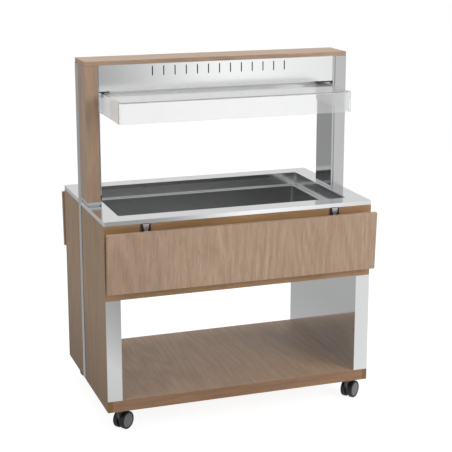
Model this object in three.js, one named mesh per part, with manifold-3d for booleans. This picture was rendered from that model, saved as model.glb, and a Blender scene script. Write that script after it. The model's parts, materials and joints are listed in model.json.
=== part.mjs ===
import * as THREE from 'three';
import { mergeVertices } from 'three/addons/utils/BufferGeometryUtils.js';
import Module from 'manifold-3d';

// Heated buffet trolley: a cabinet on twin-wheel castors with an open shelf bay, a sunk
// heated well, a folding flap on each long side and a gantry with a heat lamp over the well.
// Millimetres, +Z up, the customer's side at -Y. The origin is on the floor under the middle.
// The two ends are one design turned half round, and so are the two long sides.

const wasm = await Module();
wasm.setup();

// Overall sizes
const width = 1150;
const depth = 720;
const worktopHeight = 895;
const overallHeight = 1490;
const castorHeight = 100;

// Boards, sheets and clearances
const boardThick = 19;
const baseThick = 48;
const topBoardThick = 18;
const sheet = 1.5;
const fit = 0.3;
const overrun = 5;
const arcSteps = 4;
const roundSteps = 16;
const pinSteps = 12;

// Cabinet
const wallThick = 62;
const wallSeatDrop = 1;
const rimHeight = 18;
const fasciaHeight = 305;
const worktopCorner = 3;
const ceilingRaise = 2;
const ceilingLip = 20;

// Spines that run from the cabinet's foot to the gantry, and the posts built on them
const postDeep = 164;
const liningThick = 9;
const spineWide = 53;
const spineDeep = 42;
const spineWall = 2;
const spineRound = 4;
const spineGap = 12;
const claddingInset = 2;
const claddingReach = 57;
const claddingGap = 0.6;
const shoeTall = 13;
const shoeRaise = 4;
const shoePadInset = 4;

// Well
const wellEndMargin = 80;
const wellSideMargin = 83;
const wellCorner = 10;
const ledgeDrop = 58;
const ledgeWide = 22;
const tankDrop = 215;
const tankFlange = 14;
const jacketWall = 30;
const jacketFloor = 24;
const elementRadius = 4;
const elementEndMargin = 48;
const elementSideMargin = 75;
const elementPasses = 5;
const elementSides = 6;
const elementSteps = 56;

// Drain with its ball valve
const drainEndMargin = 73;
const drainSideMargin = 30;
const drainFlangeRadius = 24;
const drainFlangeThick = 2;
const pipeRadius = 12;
const boreRadius = 8;
const valveDrop = 31;
const valveRadius = 20;
const valveRound = 6;
const outletDrop = 34;
const valveBossRadius = 8;
const valveBossReach = 27;
const valveStemRadius = 4;
const valveNutRadius = 7;
const valveNutThick = 4;
const leverThick = 4;
const leverHubRadius = 10;
const leverLong = 95;
const leverWide = 16;

// Cable gland in the ceiling of the bay, without a cord
const glandEndSetback = 275;
const glandSideSetback = 45;
const glandStemRadius = 9;
const glandHexRadius = 13;
const glandHexTall = 7;
const glandDomeRadius = 11;
const glandDomeTall = 14;
const glandDomeRound = 4;
const glandBoreRadius = 4.5;
const glandNutTall = 5;
const hexSides = 6;

// Gantry
const topBoardInset = 2;
const topBoardLap = 1;
const gantryDrop = 106;
const gantryInset = 2;
const gantryReturn = 14;
const slotCount = 13;
const slotRowShare = 0.503;
const slotTall = 40;
const slotWide = 4.5;
const slotDrop = 10;
const slotSteps = 2;
const trayRise = 38;
const trayMouthHalf = 52;
const trayCrownHalf = 30;
const lampRadius = 7;
const lampSetback = 83;
const lampCapRadius = 9;
const lampCapLong = 24;
const lampDrop = 17;
const holderThick = 8;
const holderHalf = 13;

// Sneeze guard with its rails and clamp knobs
const guardEndGap = 19;
const guardFront = 326;
const guardRear = 40;
const guardTall = 85;
const guardThick = 5;
const guardCorner = 22;
const guardBend = 8;
const railTall = 12;
const railLong = 60;
const railWide = 58;
const railRound = 10;
const knobSetback = 35;
const knobRadius = 6;
const knobRound = 1.5;
const knobTall = 15;
const knobNeck = 3;
const knobNeckRadius = 4.5;
const studRadius = 2.5;
const studBite = 8;

// Folding flaps
const flapOverhang = 1;
const flapTall = 245;
const flapThick = 20;
const flapTilt = THREE.MathUtils.degToRad(3);
const pivotOut = 29;
const pivotDrop = 59;
const flapAbovePivot = 20.5;
const pivotSetback = 8.7;
const bracketSetback = 169;
const bracketWide = 40;
const bracketPlate = 3;
const bracketFoot = 46;
const cheekThick = 3;
const cheekEarRadius = 7;
const cheekToe = 5;
const tongueThick = 3;
const tongueTopHalf = 13;
const tongueTipHalf = 4;
const tongueLong = 50;
const pinRadius = 4;
const knuckleRadius = 7.5;
const leafThick = 4;
const leafLong = 150;
const leafTipRadius = 8;

// Castors
const castorInsetX = 63;
const castorInsetY = 56;
const castorYaw = THREE.MathUtils.degToRad(36.87);
const wheelRadius = 37.5;
const wheelWide = 20;
const wheelSpread = 34;
const trail = 22;
const webGap = 0.8;
const webRadius = 26;
const webNeckHalf = 15;
const axleRadius = 4;
const axleShort = 1.5;
const wheelCap = 1;
const treadRound = 3;
const discRadius = 30;
const grooveDeep = 1.5;
const discDome = 1.2;
const swivelRadius = 17;
const swivelTall = 22;
const stemRadius = 5;
const stemLong = 35;
const wheelSteps = 20;

// Brake pedals on the rear castors, which stand pressed down
const pedalU = 38;
const pedalZ = 84;
const pedalEarRadius = 5;
const pedalPinRadius = 2.5;
const pedalEarThick = 3;
const pedalThick = 3.5;
const pedalHalf = 14;
const pedalBack = 7;
const pedalReach = 30;
const pedalPress = THREE.MathUtils.degToRad(12);

// Controls, sunk into the right end so that nothing stands proud of it
const controlSetback = 130;
const controlDrop = 95;
const controlCutWide = 150;
const controlCutTall = 84;
const controlCutCorner = 6;
const controlLap = 12;
const controlBoxDeep = 34;
const controlKnobOffset = 34;
const controlKnobRadius = 19;
const controlKnobTall = 14;
const controlKnobTaper = 2;
const controlKnobSkirt = 4;
const controlShaftRadius = 4;
const pointerWide = 5;
const pointerTall = 3;
const switchOffset = -34;
const rockerHalf = 12;
const rockerWide = 14;
const rockerRise = 4;
const rockerDip = 7;
const rockerTilt = THREE.MathUtils.degToRad(-10);
const rockerSeat = 6;
const rockerGap = 0.5;
const bezelRim = 3;
const bezelThick = 2;
const pilotRadius = 4;
const pilotTall = 2.5;
const pilotOffset = 0;

// Places worked out from the sizes above
const halfWidth = width / 2;
const halfDepth = depth / 2;
const baseTop = castorHeight + baseThick;
const wallSeat = baseTop - wallSeatDrop;
const rimFoot = worktopHeight - rimHeight;
const fasciaFoot = rimFoot - fasciaHeight;
const wallInner = halfWidth - wallThick;
const panelInner = halfWidth - boardThick;
const fasciaInner = halfDepth - boardThick;
const postHalf = postDeep / 2;
const postInner = halfWidth - spineWide - liningThick;
const spineInner = halfWidth - spineWide;
const spineFront = postHalf - spineDeep;
const claddingInner = halfWidth - claddingReach;
const topBoardFoot = overallHeight - topBoardThick;
const gantryFoot = topBoardFoot - gantryDrop;
const gantryFace = postHalf - gantryInset;
const ceilingFoot = fasciaFoot + ceilingRaise;
const pivotZ = worktopHeight - pivotDrop;
const pivotY = halfDepth + pivotOut;
const guardTop = gantryFoot - railTall;
const wellHalfX = halfWidth - wellEndMargin;
const wellHalfY = halfDepth - wellSideMargin;
const tankHalfX = wellHalfX - ledgeWide;
const tankHalfY = wellHalfY - ledgeWide;
const ledgeTop = worktopHeight - ledgeDrop;
const tankFloor = worktopHeight - tankDrop;
const elementZ = tankFloor - sheet - fit - elementRadius;
const jacketTop = ledgeTop - sheet - fit;
const jacketBed = elementZ - elementRadius - fit;
const elementReach = tankHalfX - elementEndMargin;
const elementPitch = 2 * (tankHalfY - elementSideMargin) / (elementPasses - 1);
const drainX = tankHalfX - drainEndMargin;
const drainY = tankHalfY - drainSideMargin;
const glandX = halfWidth - glandEndSetback;
const glandY = halfDepth - glandSideSetback;
const slotPitch = width * slotRowShare / (slotCount - 1);
const lampReach = postInner - lampSetback;
const knobX = postInner - knobSetback;
const controlY = halfDepth - controlSetback;
const flapHalf = halfWidth + flapOverhang;
const bracketX = halfWidth - bracketSetback;
const controlZ = worktopHeight - controlDrop;

const finishes = {
  wood: { color: 0xa2866a, roughness: 0.55, metalness: 0 },
  sideWood: { color: 0x8b7358, roughness: 0.55, metalness: 0 },
  steel: { color: 0xc9cbcc, roughness: 0.28, metalness: 1 },
  mirror: { color: 0xd4d6d7, roughness: 0.12, metalness: 1 },
  acrylic: { color: 0xe8ebec, roughness: 0.1, metalness: 0, transparent: true, opacity: 0.45 },
  black: { color: 0x1b1b1c, roughness: 0.5, metalness: 0 },
  tyre: { color: 0x151515, roughness: 0.7, metalness: 0 },
  wool: { color: 0xc9bf96, roughness: 0.95, metalness: 0 },
  quartz: { color: 0xd8653a, roughness: 0.2, metalness: 0 },
  castor: { color: 0x4a4b4d, roughness: 0.5, metalness: 0 },
  brass: { color: 0xb79b5b, roughness: 0.35, metalness: 1 },
  red: { color: 0xa3281c, roughness: 0.45, metalness: 0 },
};

// Turning between three.js geometries and solids that can be joined and cut
function solid(geometry) {
  const bare = geometry.clone();
  bare.deleteAttribute('normal');
  bare.deleteAttribute('uv');
  const merged = mergeVertices(bare);
  const vertProperties = merged.attributes.position.array;
  const corners = [...merged.index.array];
  const triangles = [];
  while (corners.length > 0) {
    triangles.push(corners.splice(-3));
  }
  const whole = triangles.filter(([a, b, c]) => a !== b && b !== c && c !== a);
  const triVerts = new Uint32Array(whole.flat());
  return new wasm.Manifold(new wasm.Mesh({ numProp: 3, vertProperties, triVerts }));
}

function surface(body) {
  const mesh = body.getMesh();
  const geometry = new THREE.BufferGeometry();
  geometry.setAttribute('position', new THREE.BufferAttribute(new Float32Array(mesh.vertProperties), 3));
  geometry.setIndex(new THREE.BufferAttribute(new Uint32Array(mesh.triVerts), 1));
  geometry.computeVertexNormals();
  return geometry;
}

function join(...bodies) {
  return bodies.reduce((whole, body) => whole.add(body));
}

function cut(body, ...tools) {
  return tools.reduce((whole, tool) => whole.subtract(tool), body);
}

function piece(name, body, finish) {
  const mesh = new THREE.Mesh(surface(body), new THREE.MeshStandardMaterial(finishes[finish]));
  mesh.name = name;
  return mesh;
}

// Plain forms: a block between two corners and prisms along each axis
function block(x0, x1, y0, y1, z0, z1) {
  const box = new THREE.BoxGeometry(x1 - x0, y1 - y0, z1 - z0);
  return solid(box.translate((x0 + x1) / 2, (y0 + y1) / 2, (z0 + z1) / 2));
}

function prismAlongZ(shape, z0, z1) {
  const geometry = new THREE.ExtrudeGeometry(shape, {
    depth: z1 - z0, bevelEnabled: false, curveSegments: arcSteps,
  });
  return solid(geometry.translate(0, 0, z0));
}

// The shape's own axes are Y and Z here
function prismAlongX(shape, x0, x1) {
  const geometry = new THREE.ExtrudeGeometry(shape, {
    depth: x1 - x0, bevelEnabled: false, curveSegments: arcSteps,
  });
  const turn = new THREE.Matrix4().makeBasis(
    new THREE.Vector3(0, 1, 0), new THREE.Vector3(0, 0, 1), new THREE.Vector3(1, 0, 0));
  return solid(geometry.applyMatrix4(turn).translate(x0, 0, 0));
}

// The shape's own axes are X and Z here
function prismAlongY(shape, y0, y1, steps = arcSteps) {
  const geometry = new THREE.ExtrudeGeometry(shape, {
    depth: y1 - y0, bevelEnabled: false, curveSegments: steps,
  });
  const turn = new THREE.Matrix4().makeBasis(
    new THREE.Vector3(1, 0, 0), new THREE.Vector3(0, 0, 1), new THREE.Vector3(0, -1, 0));
  return solid(geometry.applyMatrix4(turn).translate(0, y1, 0));
}

function roundRod(radius, from, to, sides = roundSteps) {
  const start = new THREE.Vector3(...from);
  const end = new THREE.Vector3(...to);
  const axis = end.clone().sub(start);
  const geometry = new THREE.CylinderGeometry(radius, radius, axis.length(), sides);
  const up = new THREE.Vector3(0, 1, 0);
  geometry.applyQuaternion(new THREE.Quaternion().setFromUnitVectors(up, axis.clone().normalize()));
  const middle = start.add(end).divideScalar(2);
  return solid(geometry.translate(middle.x, middle.y, middle.z));
}

// A profile of radius and height turned about the vertical axis
function turned(points, sides = roundSteps, start = 0) {
  const profile = points.map(([radius, height]) => new THREE.Vector2(radius, height));
  return solid(new THREE.LatheGeometry(profile, sides, start).rotateX(Math.PI / 2));
}

function outline(points) {
  return new THREE.Shape(points.map(([a, b]) => new THREE.Vector2(a, b)));
}

function roundedRect(halfX, halfY, radius, holder = new THREE.Shape()) {
  holder.moveTo(halfX, radius - halfY);
  holder.lineTo(halfX, halfY - radius);
  holder.absarc(halfX - radius, halfY - radius, radius, 0, Math.PI / 2);
  holder.lineTo(radius - halfX, halfY);
  holder.absarc(radius - halfX, halfY - radius, radius, Math.PI / 2, Math.PI);
  holder.lineTo(-halfX, radius - halfY);
  holder.absarc(radius - halfX, radius - halfY, radius, Math.PI, Math.PI * 1.5);
  holder.lineTo(halfX - radius, -halfY);
  holder.absarc(halfX - radius, radius - halfY, radius, Math.PI * 1.5, Math.PI * 2);
  return holder;
}

// A sheet folded along a line of points, its thickness laid to the left of the line
function foldedSheet(points, thick) {
  const line = points.map(([a, b]) => new THREE.Vector2(a, b));
  const last = line.length - 1;
  const normals = line.slice(0, last).map((point, i) => {
    const run = line[i + 1].clone().sub(point).normalize();
    return new THREE.Vector2(-run.y, run.x);
  });
  const offset = line.map((point, i) => {
    const before = normals[Math.max(i - 1, 0)];
    const after = normals[Math.min(i, last - 1)];
    const bisector = before.clone().add(after).normalize();
    return point.clone().addScaledVector(bisector, thick / bisector.dot(after));
  });
  return new THREE.Shape([...line, ...offset.reverse()]);
}

// Cabinet: base board, end walls, fascias and the ceiling of the bay
function spineNotch(z0, z1) {
  const left = block(-halfWidth - overrun, fit - spineInner, spineFront - fit, postHalf + fit, z0, z1);
  return join(left, left.rotate([0, 0, 180]));
}

function castorPlaces() {
  const x = halfWidth - castorInsetX;
  const y = halfDepth - castorInsetY;
  return [
    { name: 'front_left', x: -x, y: -y, braked: false },
    { name: 'front_right', x, y: -y, braked: false },
    { name: 'rear_left', x: -x, y, braked: true },
    { name: 'rear_right', x, y, braked: true },
  ];
}

function baseBoard() {
  const end = panelInner - fit;
  const shelfEnd = wallInner - fit;
  const slab = join(
    block(-end, end, -halfDepth, halfDepth, castorHeight, wallSeat),
    block(-shelfEnd, shelfEnd, -halfDepth, halfDepth, castorHeight, baseTop));
  const sockets = castorPlaces().map(({ x, y }) => roundRod(stemRadius + fit,
    [x, y, castorHeight - overrun], [x, y, castorHeight + stemLong + fit]));
  const notches = spineNotch(castorHeight - overrun, baseTop + overrun);
  return cut(slab, notches, ...sockets);
}

// The left end's long panel runs from the front to the spine, its short one on to the rear
function longPanel() {
  const shape = outline([
    [-halfDepth, castorHeight],
    [spineFront - spineGap, castorHeight],
    [spineFront - spineGap, rimFoot - fit],
    [fit - fasciaInner, rimFoot - fit],
    [fit - fasciaInner, fasciaFoot - fit],
    [sheet + fit - halfDepth, fasciaFoot - fit],
    [sheet + fit - halfDepth, wallSeat - fit],
    [-halfDepth, wallSeat - fit],
  ]);
  return prismAlongX(shape, -halfWidth, -panelInner);
}

function shortPanel() {
  const shape = outline([
    [postHalf + fit, castorHeight],
    [halfDepth, castorHeight],
    [halfDepth, wallSeat - fit],
    [halfDepth - sheet - fit, wallSeat - fit],
    [halfDepth - sheet - fit, fasciaFoot - fit],
    [fasciaInner - fit, fasciaFoot - fit],
    [fasciaInner - fit, rimFoot - fit],
    [postHalf + fit, rimFoot - fit],
  ]);
  return prismAlongX(shape, -halfWidth, -panelInner);
}

// Sheet steel that lines the bay and turns out over the wall's front and rear edges
function wallLiner() {
  const edge = halfDepth;
  const shape = foldedSheet([
    [-halfWidth, edge],
    [-wallInner, edge],
    [-wallInner, -edge],
    [-halfWidth, -edge],
  ].reverse(), sheet);
  const low = prismAlongZ(shape, wallSeat, fasciaFoot - fit);
  const side = fasciaInner - fit;
  const high = block(-wallInner - sheet, -wallInner, -side, side, fasciaFoot - overrun, rimFoot - fit);
  return join(low, high);
}

function spine() {
  const halfX = spineWide / 2;
  const halfY = spineDeep / 2;
  const section = roundedRect(halfX, halfY, spineRound);
  section.holes.push(roundedRect(halfX - spineWall, halfY - spineWall, spineRound - spineWall, new THREE.Path()));
  return prismAlongZ(section, castorHeight, topBoardFoot - fit).translate([halfX - halfWidth, spineFront + halfY, 0]);
}

function fascia() {
  return block(-halfWidth, halfWidth, -halfDepth, -fasciaInner, fasciaFoot, rimFoot - fit);
}

function bayCeiling() {
  const edge = fasciaInner - fit;
  const end = wallInner - fit;
  const shape = foldedSheet([
    [-edge, ceilingFoot + ceilingLip],
    [-edge, ceilingFoot],
    [edge, ceilingFoot],
    [edge, ceilingFoot + ceilingLip],
  ], sheet);
  const plate = prismAlongX(shape, -end, end);
  const low = ceilingFoot - overrun;
  const high = ceilingFoot + sheet + overrun;
  const drain = roundRod(pipeRadius + fit, [drainX, drainY, low], [drainX, drainY, high]);
  const gland = roundRod(glandStemRadius + fit, [glandX, glandY, low], [glandX, glandY, high]);
  return cut(plate, drain, gland);
}

function worktop() {
  const shape = roundedRect(halfWidth, halfDepth, worktopCorner);
  shape.holes.push(roundedRect(wellHalfX, wellHalfY, wellCorner, new THREE.Path()));
  const slab = prismAlongZ(shape, rimFoot, worktopHeight);
  return cut(slab, spineNotch(rimFoot - overrun, worktopHeight + overrun));
}

// Well: a stepped tank hung under the worktop, its jacket, heating element and drain
function wellBox(grow, z0, z1) {
  return prismAlongZ(roundedRect(wellHalfX + grow, wellHalfY + grow, wellCorner + grow), z0, z1);
}

function tankBox(grow, z0, z1) {
  return prismAlongZ(roundedRect(tankHalfX + grow, tankHalfY + grow, wellCorner + grow), z0, z1);
}

function drainBore(radius, z0, z1) {
  return roundRod(radius, [drainX, drainY, z0], [drainX, drainY, z1]);
}

function wellTank() {
  const top = rimFoot - fit;
  const flange = wellBox(tankFlange, top - sheet, top);
  const collar = wellBox(sheet, ledgeTop - sheet, top);
  const bowl = tankBox(sheet, tankFloor - sheet, ledgeTop - sheet);
  const upper = wellBox(0, ledgeTop, top + overrun);
  const lower = tankBox(0, tankFloor, ledgeTop + overrun);
  const drain = drainBore(pipeRadius + fit, tankFloor - sheet - overrun, tankFloor + overrun);
  return cut(join(flange, collar, bowl), upper, lower, drain);
}

function wellJacket() {
  const inner = sheet + fit;
  const outer = tankBox(inner + jacketWall, jacketBed - jacketFloor, jacketTop);
  const hollow = tankBox(inner, jacketBed, jacketTop + overrun);
  const drain = drainBore(pipeRadius + fit, jacketBed - jacketFloor - overrun, jacketBed + overrun);
  return cut(outer, hollow, drain);
}

// One tube bent to and fro under the floor of the tank
function heatingElement() {
  const path = new THREE.CurvePath();
  const first = -elementPitch * (elementPasses - 1) / 2;
  for (let pass = 0; pass < elementPasses; pass += 1) {
    const y = first + pass * elementPitch;
    const way = pass % 2 === 0 ? 1 : -1;
    const reach = elementReach - elementPitch / 2;
    path.add(new THREE.LineCurve3(
      new THREE.Vector3(-way * reach, y, elementZ), new THREE.Vector3(way * reach, y, elementZ)));
    if (pass < elementPasses - 1) {
      path.add(returnBend(way * reach, y + elementPitch / 2, way));
    }
  }
  const section = new THREE.Shape().absarc(0, 0, elementRadius, 0, Math.PI * 2);
  const tube = new THREE.ExtrudeGeometry(section, {
    steps: elementSteps, extrudePath: path, curveSegments: elementSides / 2,
  });
  return solid(tube);
}

function returnBend(x, y, way) {
  const bend = new THREE.Curve();
  bend.getPoint = (t) => {
    const angle = (t - 0.5) * Math.PI;
    const radius = elementPitch / 2;
    return new THREE.Vector3(x + way * radius * Math.cos(angle), y + radius * Math.sin(angle), elementZ);
  };
  return bend;
}

function valveCentre() {
  return ceilingFoot - valveDrop;
}

// The ball inside is shut at rest, so the bore stops above it and below it
function drainValve() {
  const mid = valveCentre();
  const top = tankFloor + drainFlangeThick;
  const foot = mid - outletDrop;
  const pipe = turned([
    [0, foot],
    [pipeRadius, foot],
    [pipeRadius, mid - valveRadius],
    [valveRadius - valveRound, mid - valveRadius + valveRound],
    [valveRadius, mid - valveRadius + valveRound * 2],
    [valveRadius, mid + valveRadius - valveRound * 2],
    [valveRadius - valveRound, mid + valveRadius - valveRound],
    [pipeRadius, mid + valveRadius],
    [pipeRadius, tankFloor + fit],
    [drainFlangeRadius, tankFloor + fit],
    [drainFlangeRadius, top],
    [0, top],
  ]).translate([drainX, drainY, 0]);
  const upper = drainBore(boreRadius, mid + boreRadius, top + overrun);
  const lower = drainBore(boreRadius, foot - overrun, mid - boreRadius);
  const bossEnd = drainY - valveBossReach;
  const nutStart = bossEnd - fit - leverThick - fit;
  const boss = roundRod(valveBossRadius, [drainX, drainY, mid], [drainX, bossEnd, mid]);
  const stem = roundRod(valveStemRadius, [drainX, bossEnd + fit, mid], [drainX, nutStart, mid]);
  const nut = roundRod(valveNutRadius, [drainX, nutStart, mid],
    [drainX, nutStart - valveNutThick, mid], hexSides);
  return join(cut(pipe, upper, lower), boss, stem, nut);
}

// Closed: the lever lies level, square to the pipe
function drainLever() {
  const mid = valveCentre();
  const shape = new THREE.Shape();
  shape.absarc(drainX, mid, leverHubRadius, -Math.PI / 4, Math.PI / 4);
  shape.lineTo(drainX - leverLong + leverWide / 2, mid + leverWide / 2);
  shape.absarc(drainX - leverLong + leverWide / 2, mid, leverWide / 2, Math.PI / 2, Math.PI * 1.5);
  const rear = drainY - valveBossReach - fit;
  const plate = prismAlongY(shape, rear - leverThick, rear);
  const bore = roundRod(valveStemRadius + fit, [drainX, rear + overrun, mid],
    [drainX, rear - leverThick - overrun, mid]);
  return cut(plate, bore);
}

function cableGland() {
  const seat = ceilingFoot - fit;
  const hexFoot = seat - glandHexTall;
  const domeFoot = hexFoot - glandDomeTall;
  const nutFoot = ceilingFoot + sheet + fit;
  const nutTop = nutFoot + glandNutTall;
  const at = (z) => [glandX, glandY, z];
  const hex = roundRod(glandHexRadius, at(hexFoot), at(seat), hexSides);
  const dome = turned([
    [0, domeFoot],
    [glandDomeRadius - glandDomeRound, domeFoot],
    [glandDomeRadius, domeFoot + glandDomeRound],
    [glandDomeRadius, hexFoot + fit],
    [0, hexFoot + fit],
  ]).translate([glandX, glandY, 0]);
  const thread = roundRod(glandStemRadius, at(seat - fit), at(nutTop));
  const nut = roundRod(glandHexRadius, at(nutFoot), at(nutTop), hexSides);
  const bore = roundRod(glandBoreRadius, at(domeFoot - overrun), at(nutTop + overrun));
  return cut(join(hex, dome, thread, nut), bore);
}

// Gantry: posts, top board, slotted panels, lamp tray and lamp
function postLining() {
  const edge = postHalf;
  const shape = foldedSheet([
    [-spineInner + fit, edge],
    [-postInner, edge],
    [-postInner, -edge],
    [-claddingInner + fit, -edge],
  ].reverse(), sheet);
  const channel = prismAlongZ(shape, worktopHeight + fit, topBoardFoot - fit);
  const rear = spineFront - claddingGap;
  const low = worktopHeight + shoeRaise;
  const outer = claddingInset - halfWidth;
  const shoe = block(outer, -postInner - sheet, -edge, rear, low, low + shoeTall);
  const pad = block(outer + shoePadInset, -spineInner, shoePadInset - edge, rear - shoePadInset,
    worktopHeight + fit, low + fit);
  return join(channel, shoe, pad);
}

function postCladding() {
  const low = worktopHeight + shoeRaise + shoeTall + fit;
  const high = topBoardFoot - fit;
  return block(claddingInset - halfWidth, -claddingInner, -postHalf, spineFront - claddingGap, low, high);
}

function topBoard() {
  const halfX = halfWidth - topBoardInset;
  const halfY = postHalf + topBoardLap;
  return block(-halfX, halfX, -halfY, halfY, topBoardFoot, overallHeight);
}

function ventSlot(x) {
  const radius = slotWide / 2;
  const top = topBoardFoot - slotDrop - radius;
  const foot = topBoardFoot - slotDrop - slotTall + radius;
  const shape = new THREE.Shape();
  shape.absarc(x, top, radius, 0, Math.PI);
  shape.absarc(x, foot, radius, Math.PI, Math.PI * 2);
  return prismAlongY(shape, -gantryFace - overrun, -gantryFace + sheet + fit, slotSteps);
}

function gantryPanel() {
  const face = gantryFace;
  const inner = gantryFace - gantryReturn;
  const shape = foldedSheet([
    [-inner, topBoardFoot - fit],
    [-face, topBoardFoot - fit],
    [-face, gantryFoot],
    [-inner, gantryFoot],
  ], sheet);
  const end = postInner - fit;
  const panel = prismAlongX(shape, -end, end);
  const first = -slotPitch * (slotCount - 1) / 2;
  const slots = Array.from({ length: slotCount }, (_, i) => ventSlot(first + i * slotPitch));
  return cut(panel, ...slots);
}

function trayCrown() {
  return gantryFoot + sheet + fit + trayRise;
}

function lampZ() {
  return trayCrown() - lampDrop;
}

function lampTray() {
  const edge = gantryFace - sheet - fit;
  const low = gantryFoot + sheet + fit;
  const shape = foldedSheet([
    [-edge, low],
    [-trayMouthHalf, low],
    [-trayCrownHalf, trayCrown()],
    [trayCrownHalf, trayCrown()],
    [trayMouthHalf, low],
    [edge, low],
  ], sheet);
  const end = postInner - fit;
  const tray = prismAlongX(shape, -end, end);
  const holders = [-1, 1].map((side) => {
    const middle = side * (lampReach + lampCapLong / 2);
    return block(middle - holderThick / 2, middle + holderThick / 2, -holderHalf, holderHalf,
      lampZ() - holderHalf, trayCrown() + sheet / 2);
  });
  const lampEnd = lampReach + lampCapLong + overrun;
  const bore = roundRod(lampCapRadius + fit, [-lampEnd, 0, lampZ()], [lampEnd, 0, lampZ()]);
  return cut(join(tray, ...holders), bore);
}

function lampTube() {
  const bulb = roundRod(lampRadius, [-lampReach - overrun, 0, lampZ()], [lampReach + overrun, 0, lampZ()]);
  const caps = [-1, 1].map((side) => roundRod(lampCapRadius, [side * lampReach, 0, lampZ()],
    [side * (lampReach + lampCapLong), 0, lampZ()]));
  return join(bulb, ...caps);
}

// Sneeze guard: a clear hood with an open back and underside, clamped up to two rails.
// Its outline seen from above, from the end and from the front meet in one bent sheet.
function guardForm(inset, rear, foot) {
  const halfX = postInner - guardEndGap - inset;
  const front = guardFront - inset;
  const top = guardTop - fit - inset;
  const corner = guardCorner - inset;
  const bend = guardBend - inset;
  const above = new THREE.Shape();
  above.moveTo(halfX, rear);
  above.lineTo(-halfX, rear);
  above.absarc(corner - halfX, corner - front, corner, Math.PI, Math.PI * 1.5);
  above.absarc(halfX - corner, corner - front, corner, Math.PI * 1.5, Math.PI * 2);
  const end = new THREE.Shape();
  end.moveTo(rear, foot);
  end.lineTo(rear, top);
  end.absarc(bend - front, top - bend, bend, Math.PI / 2, Math.PI);
  end.lineTo(-front, foot);
  const across = new THREE.Shape();
  across.moveTo(-halfX, foot);
  across.lineTo(halfX, foot);
  across.absarc(halfX - bend, top - bend, bend, 0, Math.PI / 2);
  across.absarc(bend - halfX, top - bend, bend, Math.PI / 2, Math.PI);
  return prismAlongZ(above, foot, top)
    .intersect(prismAlongX(end, -halfX, halfX))
    .intersect(prismAlongY(across, -front, rear));
}

function guard() {
  const foot = guardTop - fit - guardTall;
  const skin = guardForm(0, guardRear, foot);
  const hollow = guardForm(guardThick, guardRear + overrun, foot - overrun);
  const holes = [-1, 1].map((side) => roundRod(studRadius + fit,
    [side * knobX, 0, guardTop - guardThick - overrun], [side * knobX, 0, guardTop + overrun]));
  return cut(skin, hollow, ...holes);
}

function guardRail() {
  const outer = fit - postInner;
  const inner = railWide - postInner;
  const half = railLong / 2;
  const shape = new THREE.Shape();
  shape.moveTo(outer, half);
  shape.lineTo(outer, -half);
  shape.lineTo(inner - railRound, -half);
  shape.absarc(inner - railRound, railRound - half, railRound, -Math.PI / 2, 0);
  shape.lineTo(inner, half - railRound);
  shape.absarc(inner - railRound, half - railRound, railRound, 0, Math.PI / 2);
  const bar = prismAlongZ(shape, guardTop, gantryFoot - fit);
  const tap = roundRod(studRadius + fit, [-knobX, 0, guardTop - overrun], [-knobX, 0, guardTop + studBite + fit]);
  return cut(bar, tap);
}

function guardKnob() {
  const seat = guardTop - fit - guardThick - fit;
  const neck = seat - knobNeck;
  const foot = neck - knobTall;
  return turned([
    [0, foot],
    [knobRadius - knobRound, foot],
    [knobRadius, foot + knobRound],
    [knobRadius, neck],
    [knobNeckRadius, neck],
    [knobNeckRadius, seat],
    [studRadius, seat],
    [studRadius, guardTop + studBite],
    [0, guardTop + studBite],
  ]).translate([-knobX, 0, 0]);
}

// Folding flaps, drawn about their hinge pivot with the cabinet on the +Y side
function flapBoard() {
  const top = flapAbovePivot;
  const back = -pivotSetback - fit;
  return block(-flapHalf, flapHalf, back - flapThick, back, top - flapTall, top);
}

function flapBracket() {
  const back = pivotOut - fit;
  const face = back - bracketPlate;
  const top = rimFoot - fit - pivotZ;
  const clear = flapAbovePivot + sheet;
  const half = bracketWide / 2;
  const plate = block(-half, half, face, back, -bracketFoot, top);
  const cheekShape = new THREE.Shape();
  cheekShape.moveTo(back, top);
  cheekShape.lineTo(face, top);
  cheekShape.lineTo(clear, cheekEarRadius + sheet);
  cheekShape.lineTo(clear, cheekEarRadius);
  cheekShape.absarc(0, 0, cheekEarRadius, Math.PI / 2, Math.PI * 1.5);
  cheekShape.lineTo(face, -bracketFoot + cheekToe);
  cheekShape.lineTo(back, -bracketFoot + cheekToe);
  const cheeks = [-half, half - cheekThick].map((x) => prismAlongX(cheekShape, x, x + cheekThick));
  const tongueShape = outline([
    [-tongueTopHalf, top], [-tongueTipHalf, top - tongueLong],
    [tongueTipHalf, top - tongueLong], [tongueTopHalf, top],
  ]);
  const tongue = prismAlongY(tongueShape, face - tongueThick, face + fit);
  const pin = roundRod(pinRadius, [-half, 0, 0], [half, 0, 0], pinSteps);
  return join(plate, ...cheeks, tongue, pin);
}

function flapLeaf() {
  const half = bracketWide / 2 - cheekThick - fit;
  const back = -pivotSetback;
  const shape = new THREE.Shape();
  shape.moveTo(half, 0);
  shape.lineTo(-half, 0);
  shape.absarc(leafTipRadius - half, leafTipRadius - leafLong, leafTipRadius, Math.PI, Math.PI * 1.5);
  shape.absarc(half - leafTipRadius, leafTipRadius - leafLong, leafTipRadius, Math.PI * 1.5, Math.PI * 2);
  const strap = prismAlongY(shape, back, back + leafThick);
  const knuckle = roundRod(knuckleRadius, [-half, 0, 0], [half, 0, 0], pinSteps);
  const bore = roundRod(pinRadius + fit, [-half - overrun, 0, 0], [half + overrun, 0, 0], pinSteps);
  return cut(join(strap, knuckle), bore);
}

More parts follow.
